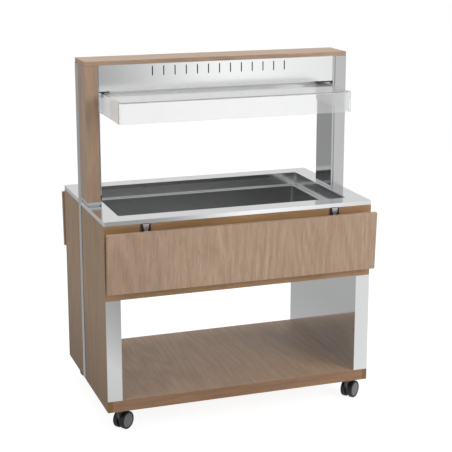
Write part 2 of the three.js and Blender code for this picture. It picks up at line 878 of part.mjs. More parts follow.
// Castors, drawn about their swivel axis with the wheels trailing along +X
function castorHousing(braked) {
  const half = wheelSpread / 2 - wheelWide / 2 - webGap;
  const axle = wheelRadius;
  const headFoot = castorHeight - swivelTall;
  const shape = new THREE.Shape();
  shape.moveTo(-webNeckHalf, headFoot + fit);
  shape.lineTo(-webNeckHalf, axle + webRadius);
  shape.lineTo(trail - webRadius, axle);
  shape.absarc(trail, axle, webRadius, Math.PI, Math.PI * 2);
  shape.lineTo(trail + webRadius, axle + webRadius / 2);
  if (braked) {
    shape.lineTo(pedalU + pedalEarRadius, pedalZ - pedalEarRadius);
    shape.absarc(pedalU, pedalZ, pedalEarRadius, 0, Math.PI);
    shape.lineTo(pedalU - pedalEarRadius, headFoot + fit);
  } else {
    shape.lineTo(webNeckHalf, headFoot + fit);
  }
  const web = prismAlongY(shape, -half, half);
  const head = turned([
    [0, headFoot],
    [swivelRadius - sheet, headFoot],
    [swivelRadius, headFoot + sheet],
    [swivelRadius, castorHeight - fit],
    [stemRadius, castorHeight - fit],
    [stemRadius, castorHeight + stemLong],
    [0, castorHeight + stemLong],
  ]);
  const axleHalf = wheelSpread / 2 + wheelWide / 2 - axleShort;
  const rod = roundRod(axleRadius, [trail, -axleHalf, axle], [trail, axleHalf, axle]);
  const parts = [web, head, rod];
  if (braked) {
    const pinHalf = half + webGap / 2 + pedalEarThick;
    parts.push(roundRod(pedalPinRadius, [pedalU, -pinHalf, pedalZ], [pedalU, pinHalf, pedalZ], pinSteps));
  }
  return join(...parts);
}

// One tyre and disc, its inner face at the origin and its outer face along the turning axis.
// The tread's flats touch the true radius, and one of them lies on the floor.
function castorWheel() {
  const outer = wheelWide;
  const halfStep = Math.PI / wheelSteps;
  const tread = wheelRadius / Math.cos(halfStep);
  return turned([
    [0, outer - wheelCap],
    [axleRadius + fit, outer - wheelCap],
    [axleRadius + fit, 0],
    [tread - treadRound / 2, 0],
    [tread, treadRound],
    [tread, outer - treadRound],
    [tread - treadRound / 2, outer],
    [discRadius + grooveDeep, outer],
    [discRadius, outer - grooveDeep],
    [discRadius - grooveDeep, outer],
    [0, outer + discDome],
  ], wheelSteps, halfStep);
}

function brakePedal() {
  const webHalf = wheelSpread / 2 - wheelWide / 2 - webGap;
  const inner = webHalf + webGap / 2;
  const outer = inner + pedalEarThick;
  const under = pedalEarRadius + webGap / 2;
  const plate = block(-pedalBack, pedalReach, -pedalHalf, pedalHalf, under, under + pedalThick);
  const lip = block(pedalReach - pedalThick, pedalReach, -pedalHalf, pedalHalf,
    under - pedalThick, under + fit);
  const earShape = new THREE.Shape();
  earShape.absarc(0, 0, pedalEarRadius, Math.PI, Math.PI * 2);
  earShape.lineTo(pedalEarRadius, under + fit);
  earShape.lineTo(-pedalEarRadius, under + fit);
  const ears = [-outer, inner].map((y) => prismAlongY(earShape, y, y + pedalEarThick));
  const bore = roundRod(pedalPinRadius + fit, [0, -outer - overrun, 0], [0, outer + overrun, 0], pinSteps);
  return cut(join(plate, lip, ...ears), bore);
}

function castor({ name, x, y, braked }) {
  const group = new THREE.Group();
  group.position.set(x, y, 0);
  group.rotation.z = castorYaw;
  group.add(piece(`${name}_castor_housing`, castorHousing(braked), 'castor'));
  const inner = (wheelSpread - wheelWide) / 2;
  const near = piece(`${name}_wheel_a`, castorWheel(), 'tyre');
  near.position.set(trail, -inner, wheelRadius);
  near.rotation.x = Math.PI / 2;
  const far = piece(`${name}_wheel_b`, castorWheel(), 'tyre');
  far.position.set(trail, inner, wheelRadius);
  far.rotation.x = -Math.PI / 2;
  group.add(near, far);
  if (braked) {
    const pedal = piece(`${name}_brake_pedal`, brakePedal(), 'black');
    pedal.position.set(pedalU, 0, pedalZ);
    pedal.rotation.y = pedalPress;
    group.add(pedal);
  }
  return group;
}

// Controls on the right end, behind a cut-out in its long panel
function controlCut(grow, x0, x1) {
  const shape = roundedRect(controlCutWide / 2 + grow, controlCutTall / 2 + grow, controlCutCorner + grow);
  return prismAlongX(shape, x0, x1).translate([0, controlY, controlZ]);
}

function rockerPivotX() {
  return panelInner - fit - rockerSeat;
}

function controlPlate() {
  const face = panelInner - fit;
  const plate = controlCut(controlLap, face - sheet, face);
  const box = block(face - sheet - controlBoxDeep, face - sheet + fit,
    controlY - controlCutWide / 2, controlY + controlCutWide / 2,
    controlZ - controlCutTall / 2, controlZ + controlCutTall / 2);
  const switchY = controlY + switchOffset;
  const halfY = rockerWide / 2 + rockerGap;
  const bezel = block(face - fit, face + bezelThick,
    switchY - halfY - bezelRim, switchY + halfY + bezelRim,
    controlZ - rockerHalf - rockerGap - bezelRim, controlZ + rockerHalf + rockerGap + bezelRim);
  const x = rockerPivotX();
  const seat = roundRod(rockerHalf + rockerGap,
    [x, switchY - halfY, controlZ], [x, switchY + halfY, controlZ]);
  const shaftY = controlY + controlKnobOffset;
  const shaft = roundRod(controlShaftRadius, [face - fit, shaftY, controlZ],
    [face + fit + controlKnobTall / 2, shaftY, controlZ]);
  const lampY = controlY + pilotOffset;
  const lens = roundRod(pilotRadius, [face - fit, lampY, controlZ], [face + pilotTall, lampY, controlZ]);
  return cut(join(plate, box, bezel, shaft, lens), seat);
}

function thermostatKnob() {
  const base = panelInner;
  const knob = turned([
    [0, 0],
    [controlKnobRadius, 0],
    [controlKnobRadius, controlKnobSkirt],
    [controlKnobRadius - controlKnobTaper, controlKnobTall],
    [0, controlKnobTall],
  ]);
  const ridge = block(-pointerWide / 2, pointerWide / 2, 0, controlKnobRadius - controlKnobTaper,
    controlKnobTall - fit, controlKnobTall + pointerTall);
  const bore = roundRod(controlShaftRadius + fit, [0, 0, -overrun], [0, 0, controlKnobTall / 2 + fit * 2]);
  const whole = cut(join(knob, ridge), bore);
  return whole.rotate([90, 0, 90]).translate([base, controlY + controlKnobOffset, controlZ]);
}

// Drawn about its pivot, its two faces dipping to the middle
function powerSwitch() {
  const shape = new THREE.Shape();
  const rise = Math.asin(rockerRise / rockerHalf);
  shape.absarc(0, 0, rockerHalf, rise, Math.PI * 2 - rise);
  shape.lineTo(rockerDip, 0);
  const half = rockerWide / 2;
  const rocker = piece('power_switch', prismAlongY(shape, -half, half), 'red');
  rocker.position.set(rockerPivotX(), controlY + switchOffset, controlZ);
  rocker.rotation.y = rockerTilt;
  return rocker;
}

// The whole trolley
const halfTurn = Math.PI;
const trolley = new THREE.Group();

function addEnd(side, rotation, longName, shortName, longBody) {
  const end = new THREE.Group();
  end.rotation.z = rotation;
  end.add(
    piece(`${side}_${longName}_panel`, longBody, 'sideWood'),
    piece(`${side}_${shortName}_panel`, shortPanel(), 'sideWood'),
    piece(`${side}_wall_liner`, wallLiner(), 'mirror'),
    piece(`${side}_spine`, spine(), 'steel'),
    piece(`${side}_post_lining`, postLining(), 'mirror'),
    piece(`${side}_post_cladding`, postCladding(), 'wood'),
  );
  trolley.add(end);
}

function addLongSide(side, rotation) {
  const whole = new THREE.Group();
  whole.rotation.z = rotation;
  whole.add(piece(`${side}_fascia`, fascia(), 'wood'));
  whole.add(piece(`gantry_${side}_panel`, gantryPanel(), 'steel'));
  const hinge = new THREE.Group();
  hinge.position.set(0, -pivotY, pivotZ);
  const leaning = new THREE.Group();
  leaning.rotation.x = flapTilt;
  leaning.add(piece(`${side}_flap`, flapBoard(), 'wood'));
  const hands = rotation === 0 ? ['left', 'right'] : ['right', 'left'];
  hands.forEach((hand, i) => {
    const x = i === 0 ? -bracketX : bracketX;
    const bracket = piece(`${side}_${hand}_flap_bracket`, flapBracket(), 'black');
    bracket.position.x = x;
    hinge.add(bracket);
    const leaf = piece(`${side}_${hand}_flap_leaf`, flapLeaf(), 'steel');
    leaf.position.x = x;
    leaning.add(leaf);
  });
  hinge.add(leaning);
  whole.add(hinge);
  trolley.add(whole);
}

function addGuard() {
  trolley.add(piece('sneeze_guard', guard(), 'acrylic'));
  [['left', 0], ['right', halfTurn]].forEach(([side, rotation]) => {
    const holder = new THREE.Group();
    holder.rotation.z = rotation;
    holder.add(piece(`${side}_guard_rail`, guardRail(), 'black'));
    holder.add(piece(`${side}_guard_knob`, guardKnob(), 'steel'));
    trolley.add(holder);
  });
}

trolley.add(
  piece('base_board', baseBoard(), 'wood'),
  piece('bay_ceiling', bayCeiling(), 'steel'),
  piece('worktop', worktop(), 'mirror'),
  piece('well_tank', wellTank(), 'steel'),
  piece('well_jacket', wellJacket(), 'wool'),
  piece('heating_element', heatingElement(), 'steel'),
  piece('drain_valve', drainValve(), 'brass'),
  piece('drain_lever', drainLever(), 'red'),
  piece('cable_gland', cableGland(), 'black'),
  piece('top_board', topBoard(), 'wood'),
  piece('lamp_tray', lampTray(), 'mirror'),
  piece('lamp_tube', lampTube(), 'quartz'),
);
const cutOut = controlCut(0, panelInner - overrun, halfWidth + overrun).rotate([0, 0, 180]);
addEnd('left', 0, 'front', 'rear', longPanel());
addEnd('right', halfTurn, 'rear', 'front', cut(longPanel(), cutOut));
addLongSide('front', 0);
addLongSide('rear', halfTurn);
addGuard();
castorPlaces().forEach((place) => trolley.add(castor(place)));
trolley.add(
  piece('control_plate', controlPlate(), 'steel'),
  piece('thermostat_knob', thermostatKnob(), 'black'),
  powerSwitch(),
);

export default trolley;
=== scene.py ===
import json
import math
import bpy
import bmesh
from mathutils import Matrix, Vector

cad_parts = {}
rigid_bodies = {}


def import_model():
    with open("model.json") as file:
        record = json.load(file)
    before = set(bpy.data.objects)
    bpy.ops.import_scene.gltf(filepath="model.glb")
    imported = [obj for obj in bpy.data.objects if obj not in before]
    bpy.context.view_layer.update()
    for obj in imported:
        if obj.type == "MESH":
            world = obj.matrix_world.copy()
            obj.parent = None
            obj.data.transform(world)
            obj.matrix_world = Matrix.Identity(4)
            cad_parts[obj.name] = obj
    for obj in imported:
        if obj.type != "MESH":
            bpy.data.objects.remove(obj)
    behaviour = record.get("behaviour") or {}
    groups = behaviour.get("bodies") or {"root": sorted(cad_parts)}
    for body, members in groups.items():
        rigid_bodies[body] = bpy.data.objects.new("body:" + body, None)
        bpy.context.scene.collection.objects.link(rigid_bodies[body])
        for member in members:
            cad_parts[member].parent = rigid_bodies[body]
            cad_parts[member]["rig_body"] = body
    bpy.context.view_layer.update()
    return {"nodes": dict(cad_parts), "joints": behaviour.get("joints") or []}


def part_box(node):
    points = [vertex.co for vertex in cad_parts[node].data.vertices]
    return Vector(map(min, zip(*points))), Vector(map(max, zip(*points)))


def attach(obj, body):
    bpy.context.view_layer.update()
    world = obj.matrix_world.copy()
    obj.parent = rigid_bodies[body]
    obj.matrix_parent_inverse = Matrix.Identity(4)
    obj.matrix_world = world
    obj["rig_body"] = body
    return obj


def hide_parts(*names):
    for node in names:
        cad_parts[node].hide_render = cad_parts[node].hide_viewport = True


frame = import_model()
nodes = frame["nodes"]
joints = {joint["name"]: joint for joint in frame["joints"]}
mm = 0.001
print("frame loaded,", len(nodes), "nodes")


# Selecting, placing and finishing, used by every piece
def onlySelect(thing):
    if bpy.context.mode != "OBJECT":
        bpy.ops.object.mode_set(mode="OBJECT")
    bpy.ops.object.select_all(action="DESELECT")
    thing.select_set(True)
    bpy.context.view_layer.objects.active = thing


def openMesh(thing):
    onlySelect(thing)
    bpy.ops.object.mode_set(mode="EDIT")


def closeMesh():
    bpy.ops.object.mode_set(mode="OBJECT")


def pick(thing, kind, test):
    bpy.ops.mesh.select_mode(type={"verts": "VERT", "edges": "EDGE", "faces": "FACE"}[kind])
    bpy.ops.mesh.select_all(action="DESELECT")
    mesh = bmesh.from_edit_mesh(thing.data)
    for item in getattr(mesh, kind):
        if test(item):
            item.select_set(True)
    bmesh.update_edit_mesh(thing.data)


def edgeMiddle(edge):
    return (edge.verts[0].co + edge.verts[1].co) / 2


def edgeRun(edge):
    return (edge.verts[1].co - edge.verts[0].co).normalized()


def isLevel(edge):
    return abs(edgeRun(edge).z) < 0.1


def isUpright(edge):
    return abs(edgeRun(edge).z) > 0.9


def isFold(edge):
    return edge.calc_face_angle(0) > 0.5


def split(place, normal):
    bpy.ops.mesh.select_all(action="SELECT")
    bpy.ops.mesh.bisect(plane_co=place, plane_no=normal)


def push(x=0.0, y=0.0, z=0.0):
    bpy.ops.mesh.extrude_region_move(TRANSFORM_OT_translate={"value": (x, y, z)})


def faceOutwards():
    bpy.ops.mesh.select_all(action="SELECT")
    bpy.ops.mesh.normals_make_consistent(inside=False)


# Makes a closed bar an open tube: both ends are inset by the wall and bridged
def boreThrough(thing, wall):
    pick(thing, "faces", lambda face: abs(face.normal.z) > 0.9)
    bpy.ops.mesh.inset(thickness=wall)
    pick(thing, "faces", lambda face: abs(face.normal.z) > 0.9 and len(face.verts) > 4)
    bpy.ops.mesh.bridge_edge_loops()
    faceOutwards()


# Number of the side that a face of a round piece stands on, counted about its axis
def sideNumber(face, sides):
    return math.floor((math.atan2(face.normal.y, face.normal.x) / math.tau + 1) * sides)


def settle(thing):
    onlySelect(thing)
    bpy.ops.object.transform_apply(location=True, rotation=True, scale=True)


def smooth(thing, degrees=35, weighted=True):
    onlySelect(thing)
    bpy.ops.object.shade_smooth_by_angle(angle=math.radians(degrees))
    if weighted:
        useModifier(thing, "WEIGHTED_NORMAL", mode="FACE_AREA", weight=80, keep_sharp=True)


def useModifier(thing, kind, **values):
    onlySelect(thing)
    modifier = thing.modifiers.new(kind.lower(), kind)
    for key, value in values.items():
        setattr(modifier, key, value)
    bpy.ops.object.modifier_apply(modifier=modifier.name)


# Eases the folds and cut edges of a sheet
def easeSheet(thing, width):
    useModifier(thing, "BEVEL", width=width, segments=2, limit_method="ANGLE", angle_limit=math.radians(50))


def startBlock(name, low, high):
    bpy.ops.object.select_all(action="DESELECT")
    bpy.ops.mesh.primitive_cube_add(size=1, location=(Vector(low) + Vector(high)) / 2)
    thing = bpy.context.active_object
    thing.name = name
    thing.scale = Vector(high) - Vector(low)
    settle(thing)
    return thing


def startRod(name, radius, low, high, sides=48):
    bpy.ops.object.select_all(action="DESELECT")
    bpy.ops.mesh.primitive_cylinder_add(vertices=sides, radius=radius, depth=high - low,
                                        location=(0, 0, (low + high) / 2))
    thing = bpy.context.active_object
    thing.name = name
    settle(thing)
    return thing


# A thin bar with its upright corners rounded
def startBar(name, low, high, corner):
    bar = startBlock(name, low, high)
    openMesh(bar)
    pick(bar, "edges", isUpright)
    bpy.ops.mesh.bevel(offset=corner, segments=3)
    closeMesh()
    smooth(bar)
    return bar


def copyOf(thing, name):
    again = thing.copy()
    again.data = thing.data.copy()
    again.name = name
    bpy.context.scene.collection.objects.link(again)
    return again


def standIn(thing, origin, along, up):
    x, z = Vector(along).normalized(), Vector(up).normalized()
    turn = Matrix((x, z.cross(x), z)).transposed().to_4x4()
    thing.matrix_world = Matrix.Translation(Vector(origin)) @ turn @ thing.matrix_world


def standOn(thing, origin, up):
    side = Vector((1, 0, 0)) if abs(Vector(up).normalized().x) < 0.9 else Vector((0, 1, 0))
    flat = (side - Vector(up).normalized() * side.dot(Vector(up).normalized())).normalized()
    standIn(thing, origin, flat, up)


def dress(thing, body, finish, replaced=()):
    settle(thing)
    thing.data.materials.clear()
    thing.data.materials.append(finish)
    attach(thing, body)
    if replaced:
        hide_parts(*replaced)


def bodyOf(node):
    return nodes[node]["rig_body"]


fine = {"merge": 0.005 * mm, "flatAngle": 0.6, "sharpAngle": 38}


# A finer piece worked from one CAD piece: merged, reshaped, its edges eased
def fineCopy(node, edge, finish, shape=None, segments=3, smoothAngle=35):
    thing = bpy.data.objects.new(node + "_fine", nodes[node].data.copy())
    bpy.context.scene.collection.objects.link(thing)
    openMesh(thing)
    bpy.ops.mesh.customdata_custom_splitnormals_clear()
    bpy.ops.mesh.select_all(action="SELECT")
    bpy.ops.mesh.remove_doubles(threshold=fine["merge"])
    if edge:
        bpy.ops.mesh.dissolve_limited(angle_limit=math.radians(fine["flatAngle"]))
    if shape:
        shape(thing)
    faceOutwards()
    closeMesh()
    if edge:
        useModifier(thing, "BEVEL", width=edge, segments=segments, limit_method="ANGLE",
                    angle_limit=math.radians(fine["sharpAngle"]), use_clamp_overlap=True)
    smooth(thing, smoothAngle)
    dress(thing, bodyOf(node), finish, (node,))


# Finishes
def newFinish(name):
    finish = bpy.data.materials.new(name)
    finish.use_nodes = True
    tree = finish.node_tree
    return finish, tree, tree.nodes["Principled BSDF"]


def addNode(tree, kind, values=None, **settings):
    node = tree.nodes.new(kind)
    for key, value in settings.items():
        setattr(node, key, value)
    for key, value in (values or {}).items():
        node.inputs[key].default_value = value
    return node


def place(tree, scale=(1, 1, 1), shift=(0, 0, 0)):
    coords = addNode(tree, "ShaderNodeTexCoord")
    mapping = addNode(tree, "ShaderNodeMapping", {"Location": shift, "Scale": scale})
    tree.links.new(coords.outputs["Object"], mapping.inputs["Vector"])
    return mapping.outputs["Vector"]


def noiseOn(tree, vector, scale, detail=2.0, rough=0.5, distortion=0.0):
    noise = addNode(tree, "ShaderNodeTexNoise",
                    {"Scale": scale, "Detail": detail, "Roughness": rough, "Distortion": distortion})
    tree.links.new(vector, noise.inputs["Vector"])
    return noise.outputs["Fac"]


def rampOn(tree, value, stops):
    ramp = addNode(tree, "ShaderNodeValToRGB")
    while len(ramp.color_ramp.elements) < len(stops):
        ramp.color_ramp.elements.new(0.5)
    for element, (position, colour) in zip(ramp.color_ramp.elements, stops):
        element.position = position
        element.color = (*colour, 1)
    tree.links.new(value, ramp.inputs["Fac"])
    return ramp.outputs["Color"]


def mixOn(tree, factor, first, second, blend="MIX"):
    mix = addNode(tree, "ShaderNodeMix", data_type="RGBA", blend_type=blend)
    for value, socket in ((factor, 0), (first, 6), (second, 7)):
        if isinstance(value, bpy.types.NodeSocket):
            tree.links.new(value, mix.inputs[socket])
        elif socket == 0:
            mix.inputs[0].default_value = value
        else:
            mix.inputs[socket].default_value = (*value, 1)
    return mix.outputs[2]


def mathOn(tree, operation, first, second=0.5, third=0.5):
    sums = addNode(tree, "ShaderNodeMath", operation=operation)
    for index, value in enumerate((first, second, third)):
        if isinstance(value, bpy.types.NodeSocket):
            tree.links.new(value, sums.inputs[index])
        else:
            sums.inputs[index].default_value = value
    return sums.outputs[0]


def axisOf(tree, vector, axis):
    parts = addNode(tree, "ShaderNodeSeparateXYZ")
    tree.links.new(vector, parts.inputs[0])
    return parts.outputs[axis]


def bumpOn(tree, shader, height, strength, distance):
    bump = addNode(tree, "ShaderNodeBump", {"Strength": strength, "Distance": distance})
    tree.links.new(height, bump.inputs["Height"])
    tree.links.new(bump.outputs["Normal"], shader.inputs["Normal"])


oak = {"light": (0.452, 0.318, 0.222), "mid": (0.385, 0.265, 0.18), "dark": (0.19, 0.118, 0.07),
       "flameSize": 2.6, "rings": 26.0, "fibreSize": 95.0, "fibreDark": 0.4, "poreSize": 260.0,
       "poreDark": 0.3, "patchSize": 1.9, "rough": 0.32, "roughSpread": 0.16, "specular": 0.5,
       "poreBump": 0.3, "poreDeep": 0.1 * mm, "footShadeLow": 0.12, "footShadeHigh": 0.5}
runScales = {"x": (0.05, 1, 1), "y": (1, 0.05, 1), "z": (1, 1, 0.05)}
flameScales = {"x": (0.11, 1, 1), "y": (1, 0.11, 1), "z": (1, 1, 0.11)}


# Flame figure, fibre streaks and open pores along one axis
def oakTone(tree, along, seed):
    shift = (seed, seed * 0.37, seed * 0.61)
    flow = noiseOn(tree, place(tree, flameScales[along], shift), oak["flameSize"], 2.0, 0.45, 0.2)
    rings = mathOn(tree, "PINGPONG", mathOn(tree, "MULTIPLY", flow, oak["rings"]), 1.0)
    tone = rampOn(tree, rings, [(0.0, oak["mid"]), (0.6, oak["light"]), (1.0, oak["mid"])])
    fibres = place(tree, runScales[along], shift)
    streak = noiseOn(tree, fibres, oak["fibreSize"], 5.0, 0.72)
    streak = rampOn(tree, streak, [(0.36, (0, 0, 0)), (0.66, (1, 1, 1))])
    tone = mixOn(tree, mathOn(tree, "MULTIPLY", streak, oak["fibreDark"]), tone, oak["dark"])
    pores = noiseOn(tree, fibres, oak["poreSize"], 2.0, 0.6)
    pores = rampOn(tree, pores, [(0.52, (0, 0, 0)), (0.66, (1, 1, 1))])
    tone = mixOn(tree, mathOn(tree, "MULTIPLY", pores, oak["poreDark"]), tone, oak["dark"])
    patch = noiseOn(tree, place(tree, shift=shift), oak["patchSize"], 1.0)
    cast = rampOn(tree, patch, [(0.3, (0.94, 0.93, 0.92)), (0.7, (1.05, 1.05, 1.05))])
    return mixOn(tree, 1.0, tone, cast, "MULTIPLY"), pores


def makeOak(name, along, seed, sideAlong=None, tint=(1, 1, 1), edgeShade=(1, 1, 1), foot=None):
    finish, tree, shader = newFinish(name)
    colour, pores = oakTone(tree, along, seed)
    if sideAlong:
        # Painted shade: the faces that are not level take this darker tone, for the shade on the board's
        # edges
        other = mixOn(tree, 1.0, oakTone(tree, sideAlong, seed + 3.1)[0], edgeShade, "MULTIPLY")
        geometry = addNode(tree, "ShaderNodeNewGeometry")
        tilt = mathOn(tree, "ABSOLUTE", axisOf(tree, geometry.outputs["Normal"], 2))
        colour = mixOn(tree, mathOn(tree, "GREATER_THAN", tilt, 0.6), other, colour)
    colour = mixOn(tree, 1.0, colour, tint, "MULTIPLY")
    # Painted shade: darkens the colour from a height down to the foot of the board
    if foot:
        height = axisOf(tree, place(tree), 2)
        shade = rampOn(tree, height, [(oak["footShadeLow"], foot), (oak["footShadeHigh"], (1, 1, 1))])
        colour = mixOn(tree, 1.0, colour, shade, "MULTIPLY")
    tree.links.new(colour, shader.inputs["Base Color"])
    gloss = noiseOn(tree, place(tree, runScales[along]), 40.0, 3.0)
    rough = mathOn(tree, "MULTIPLY_ADD", gloss, oak["roughSpread"], oak["rough"])
    tree.links.new(rough, shader.inputs["Roughness"])
    shader.inputs["Specular IOR Level"].default_value = oak["specular"]
    bumpOn(tree, shader, mathOn(tree, "SUBTRACT", 1.0, pores), oak["poreBump"], oak["poreDeep"])
    return finish


brushScales = {"x": (0.02, 1, 1), "z": (1, 1, 0.02)}
brush = {"lines": 900.0, "cloudSize": 5.0, "shade": 0.82, "roughShare": 0.14, "bumpShare": 0.12,
         "deep": 0.02 * mm}


# Sheet steel: brushing along one axis, faint handling marks, and painted shade that may darken the colour
# below a height
def makeSteel(name, colour, roughness, along="x", grain=0.35, smudge=0.05, lowShade=None):
    finish, tree, shader = newFinish(name)
    lines = noiseOn(tree, place(tree, brushScales[along]), brush["lines"], 3.0, 0.6)
    cloud = noiseOn(tree, place(tree), brush["cloudSize"], 3.0, 0.55)
    darker = tuple(c * brush["shade"] for c in colour)
    tone = mixOn(tree, mathOn(tree, "MULTIPLY", lines, grain * 0.5), colour, darker)
    if lowShade:
        height = axisOf(tree, place(tree), 2)
        under = mathOn(tree, "LESS_THAN", height, lowShade["below"])
        tone = mixOn(tree, under, tone, lowShade["colour"])
    tree.links.new(tone, shader.inputs["Base Color"])
    shader.inputs["Metallic"].default_value = 1.0
    rough = mathOn(tree, "MULTIPLY_ADD", lines, grain * brush["roughShare"], roughness)
    rough = mathOn(tree, "MULTIPLY_ADD", cloud, smudge, rough)
    tree.links.new(rough, shader.inputs["Roughness"])
    bumpOn(tree, shader, lines, grain * brush["bumpShare"], brush["deep"])
    return finish


def makePlastic(name, colour, roughness, speck=600.0, depth=0.05):
    finish, tree, shader = newFinish(name)
    grain = noiseOn(tree, place(tree), speck, 3.0, 0.6)
    cloud = noiseOn(tree, place(tree), 25.0, 2.0)
    tone = mixOn(tree, mathOn(tree, "MULTIPLY", cloud, 0.35), colour, tuple(c * 0.7 for c in colour))
    tree.links.new(tone, shader.inputs["Base Color"])
    tree.links.new(mathOn(tree, "MULTIPLY_ADD", grain, 0.2, roughness - 0.1), shader.inputs["Roughness"])
    bumpOn(tree, shader, grain, 0.2, depth * mm)
    return finish


def makeClear(name, colour, transmission, index, roughness=0.03):
    finish, tree, shader = newFinish(name)
    cloud = noiseOn(tree, place(tree), 6.0, 2.0)
    scratch = noiseOn(tree, place(tree, (0.1, 1, 1)), 300.0, 2.0)
    paler = tuple(min(1.0, c * 1.03) for c in colour)
    tree.links.new(mixOn(tree, cloud, colour, paler), shader.inputs["Base Color"])
    rough = mathOn(tree, "MULTIPLY_ADD", cloud, 0.05, roughness)
    tree.links.new(mathOn(tree, "MULTIPLY_ADD", scratch, 0.02, rough), shader.inputs["Roughness"])
    shader.inputs["Transmission Weight"].default_value = transmission
    shader.inputs["IOR"].default_value = index
    return finish


oakUpright = makeOak("oakPostCladding", "z", 0.0)
oakFlap = makeOak("oakFlap", "z", 5.3)
# Painted shade: the end panels are a darker, yellower copy of the oak, darker again towards the foot, for the
# shade on the trolley's ends
oakEndsShaded = makeOak("oakEndPanels", "z", 11.7, tint=(0.87, 0.76, 0.54), foot=(0.62, 0.52, 0.36))
oakLong = makeOak("oakLongBoards", "x", 2.2)
# Painted shade: the fascia oak is a darker, yellower copy, for the shade that the flap and the worktop rim
# cast on it
oakFascia = makeOak("oakFascia", "x", 4.4, tint=(0.86, 0.72, 0.5))
# Painted shade: the shelf's edges are darkened and yellowed against its top
oakShelf = makeOak("oakShelf", "y", 7.9, sideAlong="x", tint=(1.09, 1.02, 0.93),
                   edgeShade=(0.67, 0.58, 0.52))
# Painted light and shade: these steels are one metal given base colours from 0.56 to 0.88, lighter or darker
# by how light falls on each part
polishedTop = makeSteel("polishedWorktop", (0.83, 0.835, 0.84), 0.1, "x", 0.25, 0.03)
polishedWall = makeSteel("polishedBayWall", (0.78, 0.785, 0.79), 0.05, "z", 0.15, 0.02)
polishedPost = makeSteel("polishedPostLining", (0.56, 0.565, 0.57), 0.07, "z", 0.2, 0.02)
brushedSpine = makeSteel("brushedSpine", (0.6, 0.605, 0.61), 0.18, "z", 0.6)
brushedPanel = makeSteel("brushedGantryPanel", (0.88, 0.885, 0.89), 0.11, "x", 0.45, 0.02)
# Painted shade: the well's walls below 838.5 mm are darkened, for the shade deep inside the well
wellSteel = makeSteel("brushedWell", (0.88, 0.885, 0.89), 0.16, "x", 0.5,
                      lowShade={"below": 838.5 * mm, "colour": (0.54, 0.542, 0.545)})
brushedPlate = makeSteel("brushedPlate", (0.72, 0.725, 0.73), 0.26, "z", 0.6)
lampMirror = makeSteel("lampTrayMirror", (0.85, 0.855, 0.86), 0.1, "x", 0.2)
screwSteel = makeSteel("screwSteel", (0.62, 0.63, 0.64), 0.22, "x", 0.3)
clearAcrylic = makeClear("clearAcrylic", (0.93, 0.932, 0.935), 0.84, 1.49)
rubyQuartz = makeClear("rubyQuartz", (0.8, 0.22, 0.08), 0.8, 1.46, 0.08)
satinBlack = makePlastic("satinBlackPaint", (0.02, 0.02, 0.021), 0.38, 400.0)
blackPlastic = makePlastic("blackPlastic", (0.022, 0.022, 0.023), 0.45)
castorGrey = makePlastic("castorGreyPlastic", (0.15, 0.15, 0.153), 0.42)
castorHood = makePlastic("castorHoodPlastic", (0.075, 0.075, 0.078), 0.42)
tyreBlack = makePlastic("castorTyreRubber", (0.012, 0.012, 0.012), 0.55, 900.0, 0.08)
woolYellow = makePlastic("mineralWool", (0.6, 0.55, 0.33), 0.95, 150.0, 0.8)
valveBrass = makeSteel("valveBrass", (0.72, 0.55, 0.28), 0.3, "z", 0.4)
redPlastic = makePlastic("redPlastic", (0.42, 0.03, 0.02), 0.35)
amberLens = makePlastic("amberLens", (0.75, 0.27, 0.03), 0.18)
ceramicWhite = makePlastic("lampCeramic", (0.72, 0.7, 0.66), 0.55, 300.0)
markWhite = makePlastic("pointerWhite", (0.8, 0.8, 0.78), 0.4)
print("finishes made")

# Boards
boardEase = {"board": 1.0 * mm, "flap": 1.2 * mm, "top": 1.5 * mm, "panel": 0.8 * mm}
joinGroove = {"low": 126.6 * mm, "high": 127.8 * mm, "deep": 0.9 * mm, "end": 548 * mm, "face": 359 * mm}


# A shadow line between the shelf board and the frame under it, front and rear
def groove(thing):
    for height in (joinGroove["low"], joinGroove["high"]):
        split((0, 0, height), (0, 0, 1))
    for end in (-joinGroove["end"], joinGroove["end"]):
        split((end, 0, 0), (1, 0, 0))
    for way in (-1, 1):
        def inBand(face, way=way):
            middle = face.calc_center_median()
            return (face.normal.y * way > 0.9 and middle.y * way > joinGroove["face"]
                    and joinGroove["low"] < middle.z < joinGroove["high"]
                    and abs(middle.x) < joinGroove["end"])
        pick(thing, "faces", inBand)
        push(y=-way * joinGroove["deep"])


fineCopy("base_board", boardEase["board"] / 2, oakShelf, groove)
fineCopy("top_board", boardEase["top"], oakLong)
for node in ("left_post_cladding", "right_post_cladding"):
    fineCopy(node, boardEase["board"], oakUpright)
for node in ("front_fascia", "rear_fascia"):
    fineCopy(node, boardEase["board"], oakFascia)
for node in ("left_front_panel", "left_rear_panel", "right_front_panel", "right_rear_panel"):
    fineCopy(node, boardEase["panel"], oakEndsShaded)
for node in ("front_flap", "rear_flap"):
    fineCopy(node, boardEase["flap"], oakFlap)
print("boards made")

# Worktop: the sheet rolls over its outer edge and round the mouth of the well
fineCopy("worktop", 1.2 * mm, polishedTop, segments=4)

# Well: pressed corners between the floor and the walls
well = {"floor": 680 * mm, "sheet": 1.5 * mm, "round": 8 * mm, "reachX": 455 * mm, "reachY": 243 * mm}


def roundFloor(thing):
    for drop in (0, well["sheet"]):
        height, radius = well["floor"] - drop, well["round"] + drop

        def onFloor(edge, height=height):
            middle = edgeMiddle(edge)
            return (isFold(edge) and all(abs(vert.co.z - height) < 0.05 * mm for vert in edge.verts)
                    and (abs(middle.x) > well["reachX"] or abs(middle.y) > well["reachY"]))
        pick(thing, "edges", onFloor)
        bpy.ops.mesh.bevel(offset=radius, segments=5)


fineCopy("well_tank", 0.5 * mm, wellSteel, roundFloor)

